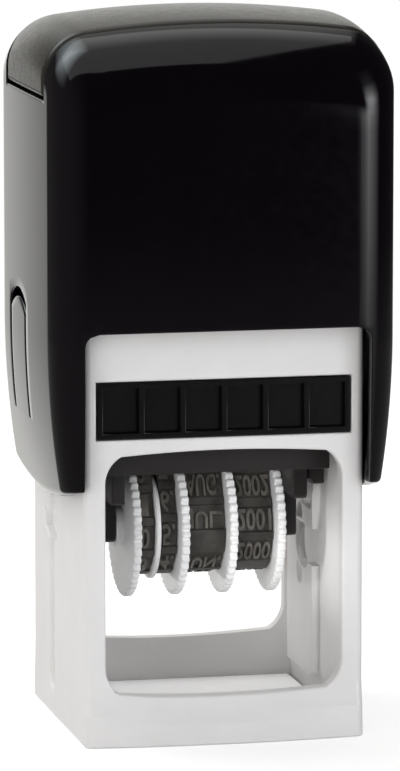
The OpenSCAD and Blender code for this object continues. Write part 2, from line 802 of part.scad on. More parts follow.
// Thumb wheel with its toothed rim, its drum and, on the outer wheels, a hub up to the cheek
module thumb_wheel(i) {
    hub_r = 2.6;
    drum_left = i == 0 ? wheel_left(0) : band_left[i] + side_gap;
    drum_right = i == 0 ? band_right[0] - side_gap : wheel_right(i);
    color("white") difference() {
        union() {
            along_x(wheel_left(i), wheel_right(i)) translate([0, axle_z]) difference() {
                circle(wheel_r);
                for (k = [0 : wheel_teeth - 1]) rotate(k * 360 / wheel_teeth) translate([wheel_r, 0]) circle(notch_r);
            }
            along_x(drum_left, drum_right) translate([0, axle_z]) circle(drum_r);
            if (i == 0) along_x(side_gap - cheek_in, wheel_left(0) + EPS) translate([0, axle_z]) circle(hub_r);
            if (i == 3) along_x(wheel_right(3) - EPS, cheek_in - side_gap) translate([0, axle_z]) circle(hub_r);
        }
        along_x(-BIG, BIG) translate([0, axle_z]) circle(axle_r + pin_gap);
    }
}

module day_tens_wheel() {
    thumb_wheel(0);
}

module day_units_wheel() {
    thumb_wheel(1);
}

module month_wheel() {
    thumb_wheel(2);
}

module year_wheel() {
    thumb_wheel(3);
}

// Rubber date band, round a wheel's drum and up over the bar at the stamping face
module date_band(i) {
    drum_gap = 0.25;
    color("#54504c") along_x(band_left[i] + side_gap, band_right[i] - side_gap) difference() {
        belt_view(drum_r + drum_gap + band_t, nose_r + band_t);
        belt_view(drum_r + drum_gap, nose_r);
    }
}

module day_tens_band() {
    date_band(0);
}

module day_units_band() {
    date_band(1);
}

module month_band() {
    date_band(2);
}

module year_band() {
    date_band(3);
}

// Plain disc on the axle between the two day bands
module spacer_disc() {
    color("white") along_x(spacer_x - spacer_t / 2, spacer_x + spacer_t / 2) translate([0, axle_z]) difference() {
        circle(spacer_r);
        circle(axle_r + press_gap);
    }
}

// Bar between the cheeks that holds the bands up to the stamping face
module band_bar() {
    rim_top = axle_z + wheel_r;
    color("#2a2624") {
        along_x(-cheek_in, cheek_in) rect(-nose_r / 2, rim_top + swing_gap, nose_r / 2, die_face_z - text_t - snug_gap);
        along_x(snug_gap - date_half_x, date_half_x - snug_gap) {
            translate([0, nose_z]) circle(nose_r - EPS);
            rect(-nose_r / 2, rim_top + swing_gap, nose_r / 2, nose_z);
        }
    }
}

base_frame();
ink_tray();
ink_pad();
cap_shell();
top_cover();
left_lock_button();
right_lock_button();
yoke_bracket();
return_spring();
die_carrier();
text_plate();
left_flip_pin();
right_flip_pin();
wheel_axle();
day_tens_wheel();
day_units_wheel();
month_wheel();
year_wheel();
day_tens_band();
day_units_band();
month_band();
year_band();
spacer_disc();
band_bar();
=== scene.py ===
import json
import math

import bmesh
import bpy
import numpy as np
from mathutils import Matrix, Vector


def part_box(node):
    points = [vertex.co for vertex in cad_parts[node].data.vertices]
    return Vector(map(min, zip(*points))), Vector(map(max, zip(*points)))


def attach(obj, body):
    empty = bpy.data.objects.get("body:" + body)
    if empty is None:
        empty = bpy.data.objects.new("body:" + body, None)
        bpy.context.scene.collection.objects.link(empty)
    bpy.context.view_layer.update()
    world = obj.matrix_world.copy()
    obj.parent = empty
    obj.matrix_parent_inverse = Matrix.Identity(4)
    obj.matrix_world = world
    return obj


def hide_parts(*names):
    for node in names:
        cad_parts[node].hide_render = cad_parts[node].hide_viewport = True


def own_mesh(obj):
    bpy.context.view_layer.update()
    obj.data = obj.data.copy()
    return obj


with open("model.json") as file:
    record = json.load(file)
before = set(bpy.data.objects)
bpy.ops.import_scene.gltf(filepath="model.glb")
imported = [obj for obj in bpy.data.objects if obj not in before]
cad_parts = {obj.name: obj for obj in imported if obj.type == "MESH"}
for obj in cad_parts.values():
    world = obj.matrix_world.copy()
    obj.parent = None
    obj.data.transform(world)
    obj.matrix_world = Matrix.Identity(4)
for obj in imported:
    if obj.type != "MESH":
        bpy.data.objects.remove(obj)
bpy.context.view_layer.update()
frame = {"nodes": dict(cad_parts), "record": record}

MM = 0.001       # all shapes below are worked out in millimetres
SLACK = 1e-6     # for comparing sizes in millimetres
ON_PLANE = 1e-7  # metres from a cutting plane that still count as on it

# Sizes shared with the CAD, in millimetres

CAP_HALF_W, CAP_HALF_D = 22.199, 19.8  # the first is a hair inside the CAD's 22.2
CAP_LOW, CAP_TOP = 33.0, 91.799        # the second is a hair inside the CAD's 91.8
RIM_BOW = 2.6                          # the rim hangs lower by this at the middle of the sides
CEILING_Z = 84.9
CUTOUT_HALF, CUTOUT_HIGH, CUTOUT_R = 18.25, 52.7, 1.7
RIB_IN, RIB_HALF, RIB_LOW, RIB_HIGH = 17.25, 1.3, 34.7, 38.95  # guide ribs that run in the frame's tracks
COVER_HALF_D, COVER_LOW, COVER_WALL = 12.6, 81.2, 1.7
BUTTON_Y, BUTTON_HALF, BUTTON_LOW, BUTTON_HIGH = 4.6, 4.8, 39.6, 54.6
BUTTON_SLIT, BUTTON_TOP_GAP, BUTTON_ARCH, BUTTON_WALL = 0.4, 1.2, 1.6, 2.2
NUB_IN, NUB_LOW, NUB_HIGH = 18.2, 50.0, 52.0
FRAME_HALF_W, FRAME_HALF_D, FRAME_CORNER_R = 18.0, 16.75, 1.0
AXLE_Z, WHEEL_R, WHEEL_T, WHEEL_TEETH = 25.2, 9.1, 1.0, 48
DRUM_R, HUB_R, BORE_R = 5.1, 2.6, 0.85
SPACER_LEFT, SPACER_RIGHT, SPACER_R, SPACER_BORE = -6.55, -5.95, 6.9, 0.82
BAND_IN_R, BAND_OUT_R = 5.35, 6.35
NOSE_Z, NOSE_OUT_R = 36.79, 1.7
SPRING_R, WIRE_R, SPRING_TURNS = 5.0, 0.35, 7
SPRING_LOW, SPRING_HIGH, STROKE = 47.35, 83.0, 30.0

# Materials

NOISE_LOW, NOISE_HIGH = 0.3, 0.7  # most of a noise texture's values lie between these


def node_material(name):
    """A new material, its node tree, and its shader."""
    mat = bpy.data.materials.new(name)
    mat.use_nodes = True
    tree = mat.node_tree
    return mat, tree, tree.nodes["Principled BSDF"]


def noise(tree, scale, detail=4.0, rough=0.55, stretch=None):
    """Noise in the object's own space, stretched along an axis where the finish has a direction."""
    coord = tree.nodes.new("ShaderNodeTexCoord")
    tex = tree.nodes.new("ShaderNodeTexNoise")
    tex.inputs["Scale"].default_value = scale
    tex.inputs["Detail"].default_value = detail
    tex.inputs["Roughness"].default_value = rough
    source = coord.outputs["Object"]
    if stretch:
        mapping = tree.nodes.new("ShaderNodeMapping")
        mapping.inputs["Scale"].default_value = stretch
        tree.links.new(source, mapping.inputs["Vector"])
        source = mapping.outputs["Vector"]
    tree.links.new(source, tex.inputs["Vector"])
    return tex.outputs["Fac"]


def span(tree, value, low, high, from_low=NOISE_LOW, from_high=NOISE_HIGH):
    """Maps a value to a range."""
    node = tree.nodes.new("ShaderNodeMapRange")
    node.inputs["From Min"].default_value = from_low
    node.inputs["From Max"].default_value = from_high
    node.inputs["To Min"].default_value = low
    node.inputs["To Max"].default_value = high
    tree.links.new(value, node.inputs["Value"])
    return node.outputs["Result"]


def link_math(tree, operation, *values):
    """Result of a Math node on sockets and plain numbers."""
    node = tree.nodes.new("ShaderNodeMath")
    node.operation = operation
    for socket, value in zip(node.inputs, values):
        if isinstance(value, float):
            socket.default_value = value
        else:
            tree.links.new(value, socket)
    return node.outputs[0]


def light_path(tree, *kinds):
    """1 for rays of the given kinds."""
    path = tree.nodes.new("ShaderNodeLightPath")
    value = path.outputs[kinds[0]]
    for kind in kinds[1:]:
        value = link_math(tree, "MAXIMUM", value, path.outputs[kind])
    return value


def ramp(tree, value, low, high):
    """Maps a noise value to a blend of two colours."""
    node = tree.nodes.new("ShaderNodeValToRGB")
    first, last = node.color_ramp.elements
    first.position = NOISE_LOW
    first.color = (*low, 1)
    last.position = NOISE_HIGH
    last.color = (*high, 1)
    tree.links.new(value, node.inputs["Fac"])
    return node.outputs["Color"]


def bump(tree, shader, height, strength, distance):
    """Lets a height roughen the shader's surface, by a distance in metres."""
    node = tree.nodes.new("ShaderNodeBump")
    node.inputs["Strength"].default_value = strength
    node.inputs["Distance"].default_value = distance
    tree.links.new(height, node.inputs["Height"])
    tree.links.new(node.outputs["Normal"], shader.inputs["Normal"])


def moulded(name, low, high, rough, grain, depth, patch=180.0, ior=1.5):
    """Moulded plastic: slow colour drift, a fine eroded grain, and roughness that wanders."""
    mat, tree, shader = node_material(name)
    tree.links.new(ramp(tree, noise(tree, patch), low, high), shader.inputs["Base Color"])
    tree.links.new(span(tree, noise(tree, patch * 4), *rough), shader.inputs["Roughness"])
    shader.inputs["IOR"].default_value = ior
    bump(tree, shader, noise(tree, grain, 6.0, 0.65), 1.0, depth)
    return mat


def ridged_steel(name):
    """Drawn wire: streaks along one axis and a cool grey that drifts."""
    mat, tree, shader = node_material(name)
    shader.inputs["Metallic"].default_value = 1.0
    streak = noise(tree, 900.0, 5.0, 0.6, (0.15, 1.0, 1.0))
    grey = ramp(tree, noise(tree, 260.0), (0.42, 0.42, 0.43), (0.6, 0.6, 0.6))
    tree.links.new(grey, shader.inputs["Base Color"])
    tree.links.new(span(tree, streak, 0.22, 0.42), shader.inputs["Roughness"])
    bump(tree, shader, streak, 0.6, 0.00001)
    return mat


def felt(name):
    """Ink-soaked felt: matted fibres with damp and dry patches."""
    mat, tree, shader = node_material(name)
    fibre = noise(tree, 2600.0, 8.0, 0.75, (1.0, 0.35, 1.0))
    ink = ramp(tree, fibre, (0.004, 0.004, 0.007), (0.03, 0.03, 0.042))
    tree.links.new(ink, shader.inputs["Base Color"])
    tree.links.new(span(tree, noise(tree, 160.0), 0.55, 0.95), shader.inputs["Roughness"])
    shader.inputs["Sheen Weight"].default_value = 0.25
    bump(tree, shader, fibre, 1.0, 0.00012)
    return mat


GLOSS = moulded("cap_gloss", (0.0016, 0.0007, 0.0017), (0.0022, 0.0011, 0.0024), (0.05, 0.08),
                grain=420.0, depth=0.0000006)
SATIN = moulded("cover_satin", (0.020, 0.0185, 0.0145), (0.027, 0.025, 0.020), (0.25, 0.31),
                grain=2600.0, depth=0.000010, ior=1.45)
WHITE = moulded("frame_white", (0.80, 0.79, 0.785), (0.83, 0.82, 0.815), (0.34, 0.42),
                grain=1700.0, depth=0.000012)
CARTRIDGE = moulded("cartridge_black", (0.0022, 0.002, 0.0022), (0.003, 0.0027, 0.0029), (0.17, 0.22),
                    grain=1200.0, depth=0.000003, ior=1.45)
CARRIER = moulded("carrier_dark", (0.012, 0.0095, 0.0095), (0.019, 0.016, 0.015), (0.42, 0.52),
                  grain=1500.0, depth=0.00002)
PLATE = moulded("stamp_rubber", (0.035, 0.032, 0.03), (0.06, 0.055, 0.05), (0.6, 0.75),
                grain=1300.0, depth=0.00003)
BAND = moulded("band_rubber", (0.030, 0.027, 0.024), (0.075, 0.069, 0.062), (0.42, 0.62),
               grain=1500.0, depth=0.00005, patch=420.0)
# The characters are the band's own rubber, coloured lighter as a painted highlight on their raised tops
LETTER = moulded("band_letter", (0.075, 0.069, 0.06), (0.15, 0.14, 0.125), (0.3, 0.5),
                 grain=1500.0, depth=0.00004, patch=520.0)
NYLON = moulded("wheel_white", (0.86, 0.86, 0.86), (0.91, 0.91, 0.91), (0.36, 0.48),
                grain=1500.0, depth=0.00001, patch=320.0)
STEEL = ridged_steel("steel")
FELT = felt("pad_felt")

# Mesh helpers

BODY_OF = {n: body for body, nodes in frame["record"]["behaviour"]["bodies"].items() for n in nodes}
SMOOTH_ANGLE = 38           # degrees between faces up to which they shade as one surface
WELD, SLIVER = 0.001, 0.06  # vertices of the CAD this close become one, before and after cleaning


def weigh_edges(bm, weight_of, least_angle=52):
    """Marks the outward sharp edges for the bevel. weight_of takes an edge's middle in millimetres."""
    layer = bm.edges.layers.float.new("bevel_weight_edge")
    for e in bm.edges:
        if len(e.link_faces) == 2 and e.is_convex and e.calc_face_angle(0) > math.radians(least_angle):
            middle = (e.verts[0].co + e.verts[1].co) / (2 * MM)
            e[layer] = weight_of(middle)


def everywhere(middle):
    """The full rounding on each edge."""
    return 1.0


def new_object(name, data):
    """A new object in the scene."""
    obj = bpy.data.objects.new(name, data)
    bpy.context.scene.collection.objects.link(obj)
    return obj


def evaluated_mesh(obj):
    """A new mesh of an object as its modifiers or its curve make it."""
    bpy.context.view_layer.update()
    return bpy.data.meshes.new_from_object(obj.evaluated_get(bpy.context.evaluated_depsgraph_get()))


def settle(obj, name):
    """Applies an object's modifiers to its mesh."""
    before = obj.data
    final = evaluated_mesh(obj)
    obj.modifiers.clear()
    obj.data = final
    bpy.data.meshes.remove(before)
    final.name = name
    return final


def add_piece(name, bm, material, node, bevel=0.0, segments=3, smooth_angle=SMOOTH_ANGLE, even=False):
    """Turns a bmesh into a piece: bevels the weighted edges, shades it, and lets it stand for its CAD node.
    even keeps large flat faces flat next to rounded edges."""
    mesh = bpy.data.meshes.new(name)
    bm.to_mesh(mesh)
    bm.free()
    mesh.materials.append(material)
    obj = new_object(name, mesh)
    if bevel:
        mod = obj.modifiers.new("edge", "BEVEL")
        mod.limit_method = "WEIGHT"
        mod.width = bevel * MM
        mod.segments = segments
        mod.use_clamp_overlap = False
        mod.miter_outer = "MITER_ARC"
    final = settle(obj, name)
    final.shade_smooth()
    final.set_sharp_from_angle(angle=math.radians(smooth_angle))
    if even:
        mod = obj.modifiers.new("flats", "WEIGHTED_NORMAL")
        mod.keep_sharp = True
        mod.weight = 100
        settle(obj, name)
    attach(obj, BODY_OF[node])
    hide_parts(node)
    return obj


def cut(bm, geom, point, normal):
    """Cuts faces and edges along a plane, which is given in metres."""
    bmesh.ops.bisect_plane(bm, geom=geom, dist=ON_PLANE, plane_co=point, plane_no=normal)


def dress(node, material, bevel, weight_of=everywhere, reshape=None, smooth_angle=SMOOTH_ANGLE):
    """A copy of a CAD node with its edges rounded, as moulded parts have them.
    reshape may change its mesh first."""
    bm = bmesh.new()
    bm.from_mesh(frame["nodes"][node].data)
    bmesh.ops.remove_doubles(bm, verts=bm.verts, dist=WELD * MM)
    if reshape:
        reshape(bm)
    # A cut through the middle is kept, so that no face is left with a hole in it
    cut(bm, bm.verts[:] + bm.edges[:] + bm.faces[:], (0, 0, 0), (1, 0, 0))
    for e in bm.edges:
        e.seam = all(abs(v.co.x) < ON_PLANE for v in e.verts)
    flat = math.radians(1)
    bmesh.ops.dissolve_limit(bm, angle_limit=flat, verts=bm.verts, edges=bm.edges, delimit={"SEAM"})
    bmesh.ops.remove_doubles(bm, verts=bm.verts, dist=SLIVER * MM)
    bmesh.ops.holes_fill(bm, edges=[e for e in bm.edges if e.is_boundary], sides=4)
    weigh_edges(bm, weight_of)
    add_piece(node + "_moulded", bm, material, node, bevel, smooth_angle=smooth_angle, even=True)


def grid_faces(rows, cols, closed_rows=False, closed_cols=False, start=0):
    """Quads of a grid of vertices that is numbered row by row."""
    return [
        (
            start + i * cols + j,
            start + i * cols + (j + 1) % cols,
            start + (i + 1) % rows * cols + (j + 1) % cols,
            start + (i + 1) % rows * cols + j,
        )
        for i in range(rows if closed_rows else rows - 1)
        for j in range(cols if closed_cols else cols - 1)
    ]


def to_bmesh(points, faces):
    """A bmesh of points in millimetres, with its faces turned outwards."""
    bm = bmesh.new()
    verts = [bm.verts.new(Vector(p) * MM) for p in points]
    for f in faces:
        if len(set(f)) > 2:
            bm.faces.new([verts[k] for k in dict.fromkeys(f)])
    bmesh.ops.recalc_face_normals(bm, faces=bm.faces)
    return bm


def thick(outer, inner, faces):
    """A closed wall: the outer faces, the inner ones turned over, and a rim along each open edge."""
    count = len(outer)
    uses = {}
    for f in faces:
        for a, b in zip(f, f[1:] + f[:1]):
            uses.setdefault(frozenset((a, b)), []).append((a, b))
    rim = [(b, a, a + count, b + count) for pairs in uses.values() if len(pairs) == 1 for a, b in pairs]
    back = [tuple(k + count for k in f[::-1]) for f in faces]
    return np.concatenate([outer, inner]), list(faces) + back + rim


def fit_cube(bm, low, high):
    """Adds a box between two corners in millimetres."""
    for v in bmesh.ops.create_cube(bm, size=1.0)["verts"]:
        v.co = Vector([(a + b) / 2 + c * abs(b - a) for a, b, c in zip(low, high, v.co)]) * MM


# Form of the cap, a little rounder than the CAD's

CROWN_R, TOP_R, BOW_R = 130.5, 64.3, 800.0  # curves of the top across and along the depth, and of the sides
CORNER_R, EDGE_R = 5.35, 5.2                # roundings from side to top, and from the front to both
WAIST_Z, WAIST_R = 51.5, 122.0              # below this height the sides draw in
BROW_START, BROW_R = 11.0, 16.0             # depth from which the top bends down to the brow, and how fast
CAP_WALL = 2.0                              # between the CAD's 1.8 in front and 2.2 at the sides
SPINE_INSET = 7.0                           # how far inside the surface the rays that find it start
SPINE_X, SPINE_Y, SPINE_Z = CAP_HALF_W - SPINE_INSET, CAP_HALF_D - SPINE_INSET, CAP_TOP - SPINE_INSET
LONGEST_RAY, RAY_STEPS = 34.0, 40
OPEN_HALF = BUTTON_HALF + BUTTON_SLIT
OPEN_FRONT, OPEN_BACK = BUTTON_Y - OPEN_HALF, BUTTON_Y + OPEN_HALF
OPEN_TOP = BUTTON_HIGH + BUTTON_TOP_GAP - BUTTON_ARCH  # where the opening's arch springs from


def round_max(a, b, r):
    """Distance to the overlap of two forms whose shared edge is rounded by r."""
    u, v = np.maximum(a + r, 0), np.maximum(b + r, 0)
    return np.minimum(np.maximum(a, b), -r) + np.sqrt(u * u + v * v)


def fall(radius, off):
    """How far a circle's edge falls away at a distance from its crest."""
    return radius - np.sqrt(radius**2 - off**2)


def cap_distance(p):
    """Distance to the cap's outer surface, below zero inside it."""
    x, y, z = np.abs(p[..., 0]), p[..., 1], p[..., 2]
    side = x - CAP_HALF_W + fall(WAIST_R, np.clip(WAIST_Z - z, 0, None)) + y * y / (2 * BOW_R)
    brow = np.clip(np.abs(y) - BROW_START, 0, None) ** 2 / (2 * BROW_R)
    top = z - CAP_TOP + fall(CROWN_R, x) + fall(TOP_R, y) + brow
    return round_max(round_max(side, top, CORNER_R), np.abs(y) - CAP_HALF_D, EDGE_R)


def cast(origin, direction, inset=0.0):
    """Where rays from inside the cap meet its surface, or the surface that lies inset below it."""
    low, high = np.zeros(origin.shape[:-1]), np.full(origin.shape[:-1], LONGEST_RAY)
    for _ in range(RAY_STEPS):
        middle = (low + high) / 2
        within = cap_distance(origin + direction * middle[..., None]) < -inset
        low, high = np.where(within, middle, low), np.where(within, high, middle)
    return origin + direction * low[..., None]


def arch_lift(y, half):
    """Height of the lock button's shallow arch above its ends, at a depth."""
    radius = (half * half + BUTTON_ARCH * BUTTON_ARCH) / (2 * BUTTON_ARCH)
    return BUTTON_ARCH - fall(radius, np.clip(np.abs(y - BUTTON_Y), 0, half))


# Grid of rays that finds the cap's skin

CUTOUT_STRIP, COVER_STRIP = 0.35, 0.5  # narrow rows that keep the shading clean
TURN, CUT_COLUMN = 24, 6               # columns from the front to a side, and the one at the cut-out
FADE = 12.0                            # height over which the columns above the cut-out even out
ARCH_BELOW, ARCH_ABOVE = 3.0, 6.0      # heights over which the rows take up the opening's arch
FLANK_LOW = 58.4                       # above this the rows of the sides are even
SIDE_Y = [-SPINE_Y, -COVER_HALF_D, -COVER_HALF_D, -11.4, -9.2, -6.8, -4.4, -2.2, OPEN_FRONT, 0.9, 2.8,
          BUTTON_Y, 6.4, 8.3, OPEN_BACK, 11.2, COVER_HALF_D, COVER_HALF_D, SPINE_Y]
SIDE_SUNK = [False, False] + [True] * (len(SIDE_Y) - 4) + [False, False]  # columns that lie under the cover


def bend_rows(count):
    """Rows round the cap's upper left corner: start (x, z) and direction (x, z)."""
    angles = np.linspace(math.pi, math.pi / 2, count + 1)[:-1]
    return [(-SPINE_X, SPINE_Z, math.cos(a), math.sin(a)) for a in angles]


def cap_rows():
    """Rows of the cap's skin up the left side, over the top and down the right.
    Each has a start (x, z), a direction (x, z) and whether the cover lies there."""
    corner = CUTOUT_HIGH - CUTOUT_R
    heights = [CAP_LOW, 33.8, 34.8, 36.0, 37.2, 38.4, BUTTON_LOW]
    heights += list(np.linspace(BUTTON_LOW, corner, 11)[1:])
    heights += [corner + CUTOUT_R * math.sin(a) for a in np.radians([18, 36, 54])]
    heights += [CUTOUT_HIGH, CUTOUT_HIGH + CUTOUT_STRIP, OPEN_TOP, 56.2, FLANK_LOW]
    heights += list(np.linspace(FLANK_LOW, COVER_LOW - COVER_STRIP, 14)[1:])
    left = [(-SPINE_X, z, -1, 0, False) for z in heights + [COVER_LOW]]
    left += [(-SPINE_X, z, -1, 0, True) for z in (COVER_LOW, COVER_LOW + COVER_STRIP, 82.4, 83.2, 84.0)]
    over = [(x, SPINE_Z, 0, 1, True) for x in np.linspace(-SPINE_X, SPINE_X, 33)]
    half = left + [(*start, True) for start in bend_rows(18)]
    return half + over + [(-x, z, -dx, dz, covered) for x, z, dx, dz, covered in half[::-1]]


def cut_angle(z, inset):
    """Angle of the turn's ray that meets the cut-out's edge at a height.
    Above the cut-out it drifts back to an even place."""
    rise = min(max(z - CUTOUT_HIGH + CUTOUT_R, 0), CUTOUT_R)
    edge = CUTOUT_HALF - CUTOUT_R + math.sqrt(CUTOUT_R**2 - rise**2)
    depth = cast(np.array([edge, 0.0, z]), np.array([0.0, 1.0, 0.0]), inset)[1]
    at_edge = math.degrees(math.atan2(depth - SPINE_Y, edge - SPINE_X))
    even = 90 - 90 * CUT_COLUMN / TURN
    away = min(max((z - CUTOUT_HIGH) / FADE, 0), 1)
    return at_edge + (even - at_edge) * away * away * (3 - 2 * away)


def rim_drop(y, z):
    """How far a row near the rim hangs lower at a depth."""
    near = min(max((BUTTON_LOW - z) / (BUTTON_LOW - CAP_LOW), 0), 1)
    return RIM_BOW * near * max(0.0, 1 - (y / CAP_HALF_D) ** 2)


def opening_lift(y, z):
    """How far a row near the top of a lock button's opening rises with its arch."""
    near = 1 - abs(z - OPEN_TOP) / (ARCH_ABOVE if z > OPEN_TOP else ARCH_BELOW)
    return arch_lift(y, OPEN_HALF) * max(0.0, near)


def cap_skin(inset):
    """The cap's skin at a depth, vertices row by row."""
    rows = cap_rows()
    cols = 2 * TURN + len(SIDE_Y)
    origin = np.zeros((len(rows), cols, 3))
    direction = np.zeros((len(rows), cols, 3))
    sunk = np.zeros((len(rows), cols))
    for i, (x, z, dx, dz, covered) in enumerate(rows):
        edge = cut_angle(z, inset)
        angles = list(np.linspace(90, edge, CUT_COLUMN + 1)[:-1])
        angles += list(np.linspace(edge, 0, TURN - CUT_COLUMN + 1)[:-1])
        for k, a in enumerate(np.radians(angles)):
            for j, side in ((k, -1), (cols - 1 - k, 1)):
                y = side * SPINE_Y
                origin[i, j] = x, y, z - rim_drop(y + side * SPINE_INSET * math.sin(a), z)
                direction[i, j] = dx * math.cos(a), side * math.sin(a), dz * math.cos(a)
        for k, (y, under) in enumerate(zip(SIDE_Y, SIDE_SUNK)):
            lift = opening_lift(y, z) if dz == 0 else 0.0
            origin[i, TURN + k] = x, y, z + lift - rim_drop(y, z)
            direction[i, TURN + k] = dx, 0, dz
            sunk[i, TURN + k] = COVER_WALL if covered and under else 0.0
    points = cast(origin, direction, inset)
    if inset:
        points[..., 2] = np.minimum(points[..., 2], CEILING_Z)
    else:
        points -= direction * sunk[..., None]
    return rows, points


def in_opening(row, next_row, column, cols):
    """Whether the face between two rows lies in a cut-out or in a lock button's opening."""
    _, z, _, dz, _ = row
    if dz:
        return False
    low, high = sorted((z, next_row[1]))
    if high < CUTOUT_HIGH + SLACK and (column < CUT_COLUMN or column >= cols - 1 - CUT_COLUMN):
        return True
    k = column - TURN
    if not 0 <= k < len(SIDE_Y) - 1:
        return False
    beside = SIDE_Y[k] > OPEN_FRONT - SLACK and SIDE_Y[k + 1] < OPEN_BACK + SLACK
    return beside and low > BUTTON_LOW - SLACK and high < OPEN_TOP + SLACK


def cap_mesh(inset):
    """Points and faces of the cap's skin at a depth."""
    rows, points = cap_skin(inset)
    count, cols = points.shape[:2]
    faces = []
    for k, quad in enumerate(grid_faces(count, cols)):
        i, j = divmod(k, cols - 1)
        if not in_opening(rows[i], rows[i + 1], j, cols):
            faces.append(quad)
    # Front and back panels between the turns, on the rows' own heights and places
    upright = [z for _, z, _, dz, _ in rows[: count // 2] if dz == 0 and z > CUTOUT_HIGH - SLACK]
    heights = sorted(set(upright + [SPINE_Z]))
    places = [x for x, _, dx, _, _ in rows if dx == 0]
    everything = [points.reshape(-1, 3)]
    start = count * cols
    for side in (-1, 1):
        x, z = np.meshgrid(places, heights, indexing="ij")
        origin = np.stack([x, np.full_like(x, side * SPINE_Y), z], -1)
        panel = cast(origin, np.broadcast_to(np.array([0.0, side, 0.0]), origin.shape), inset)
        if inset:
            panel[..., 2] = np.minimum(panel[..., 2], CEILING_Z)
        quads = grid_faces(len(places), len(heights), start=start)
        faces += quads if side == 1 else [q[::-1] for q in quads]
        everything.append(panel.reshape(-1, 3))
        start += panel.shape[0] * panel.shape[1]
    return np.concatenate(everything), faces


# Cap, cover and lock buttons

FOOT_R, FINE_EDGE = 0.8, 0.25  # rounding of the rim's outer edge, and the other edges' share of it
FOOT_IN, FOOT_END = 2.6, 0.6   # how far in from the cap's sides and ends the rim's outer edge lies
COVER_GAP, COVER_EDGE = 0.75, 0.75
COVER_LIFT = 0.1               # gap below the cover
BUTTON_EDGE = 0.22
HINGE_GAP = 0.01               # keeps a button's foot off the cap's mesh


def shell_edge(m):
    """Wide rounding on the rim's outer edge, fine on the others, none where the lock buttons bend."""
    if abs(m.z - BUTTON_LOW) < 0.02:
        return 0.0
    beside = abs(m.x) > CAP_HALF_W - FOOT_IN and abs(m.y) < CAP_HALF_D - FOOT_END
    return 1.0 if beside and m.z < CAP_LOW + 0.1 else FINE_EDGE


def cap_shell():
    """The cap's wall between its skin and its lining, with its guide ribs."""
    outer, faces = cap_mesh(0.0)
    inner, _ = cap_mesh(CAP_WALL)
    # Vertices that lie on each other become one before the rims are found
    keys, order = {}, []
    for k, p in enumerate(np.round(outer, 4)):
        order.append(keys.setdefault(tuple(p), k))
    faces = [tuple(dict.fromkeys(order[v] for v in f)) for f in faces]
    bm = to_bmesh(*thick(outer, inner, [f for f in faces if len(f) > 2]))
    loose = [v for v in bm.verts if not v.link_faces]
    bmesh.ops.delete(bm, geom=loose, context="VERTS")
    weigh_edges(bm, shell_edge, 40)
    for side in (-1, 1):
        low = side * RIB_IN, BUTTON_Y - RIB_HALF, RIB_LOW
        high = side * (CAP_HALF_W - CAP_WALL), BUTTON_Y + RIB_HALF, RIB_HIGH
        fit_cube(bm, low, high)
    add_piece("cap_shell_skin", bm, GLOSS, "cap_shell", FOOT_R, 4)


def top_cover():
    """Satin saddle let into the cap's top, on the same surface."""
    half = COVER_HALF_D - COVER_GAP
    low = COVER_LOW + COVER_GAP / 3
    rows = [(-SPINE_X, z, -1, 0) for z in np.linspace(low, SPINE_Z, 7)[:-1]]
    rows += bend_rows(24)
    rows += [(x, SPINE_Z, 0, 1) for x in np.linspace(-SPINE_X, 0, 19)]
    rows += [(-x, z, -dx, dz) for x, z, dx, dz in rows[:-1][::-1]]
    depths = np.linspace(-half, half, 27)
    origin = np.array([[(x, y, z) for y in depths] for x, z, _, _ in rows], float)
    direction = np.array([[(dx, 0, dz) for _ in depths] for _, _, dx, dz in rows], float)
    outer = cast(origin, direction)
    inner = outer - direction * (COVER_WALL - COVER_LIFT)
    bm = to_bmesh(*thick(outer.reshape(-1, 3), inner.reshape(-1, 3), grid_faces(*outer.shape[:2])))
    weigh_edges(bm, everywhere, 50)
    add_piece("top_cover_skin", bm, SATIN, "top_cover", COVER_EDGE, 4)


def button_edge(m):
    """Rounding on a lock button's free edges, none where it bends."""
    return 0.0 if m.z < BUTTON_LOW + 0.1 else 1.0


def lock_button(node, side):
    """Tongue cut free from the cap's side, with a nub inside."""
    depths = np.linspace(BUTTON_Y - BUTTON_HALF, BUTTON_Y + BUTTON_HALF, 13)
    low = BUTTON_LOW + HINGE_GAP
    tops = BUTTON_HIGH - BUTTON_ARCH + arch_lift(depths, BUTTON_HALF)
    z = low + np.linspace(0, 1, 15)[:, None] * (tops - low)
    origin = np.stack([np.full_like(z, side * SPINE_X), np.broadcast_to(depths, z.shape), z], -1)
    outer = cast(origin, np.broadcast_to(np.array([side, 0.0, 0.0]), origin.shape))
    inner = outer.copy()
    inner[..., 0] = side * (CAP_HALF_W - BUTTON_WALL)
    bm = to_bmesh(*thick(outer.reshape(-1, 3), inner.reshape(-1, 3), grid_faces(*z.shape)))
    foot = side * NUB_IN, BUTTON_Y - RIB_HALF, NUB_LOW
    head = side * (CAP_HALF_W - BUTTON_WALL), BUTTON_Y + RIB_HALF, NUB_HIGH
    fit_cube(bm, foot, head)
    bmesh.ops.recalc_face_normals(bm, faces=bm.faces)
    weigh_edges(bm, button_edge, 50)
    add_piece(node + "_tongue", bm, GLOSS, node, BUTTON_EDGE)


cap_shell()
top_cover()
lock_button("left_lock_button", -1)
lock_button("right_lock_button", 1)

# Moulded parts that keep the CAD's form

CORNER_X, CORNER_Y = FRAME_HALF_W - FRAME_CORNER_R, FRAME_HALF_D - FRAME_CORNER_R
PLINTH_TOP, PLINTH_OUT = 7.5, 0.85  # where the plinth has faded out, and its reach at the corners
PLINTH_EDGE = 15.6                  # beyond this lie the plinth's front, back and corners
INSIDE_W, INSIDE_D = 16.2, 15.2     # within these the edges are the cams' and the runners'
INSIDE_EDGE = 0.35                  # share of the rounding that those edges have
NEAR = 0.02                         # how close a vertex lies to a line that it belongs to
CORNER_STEPS, CORNER_WELD = 12, 0.03


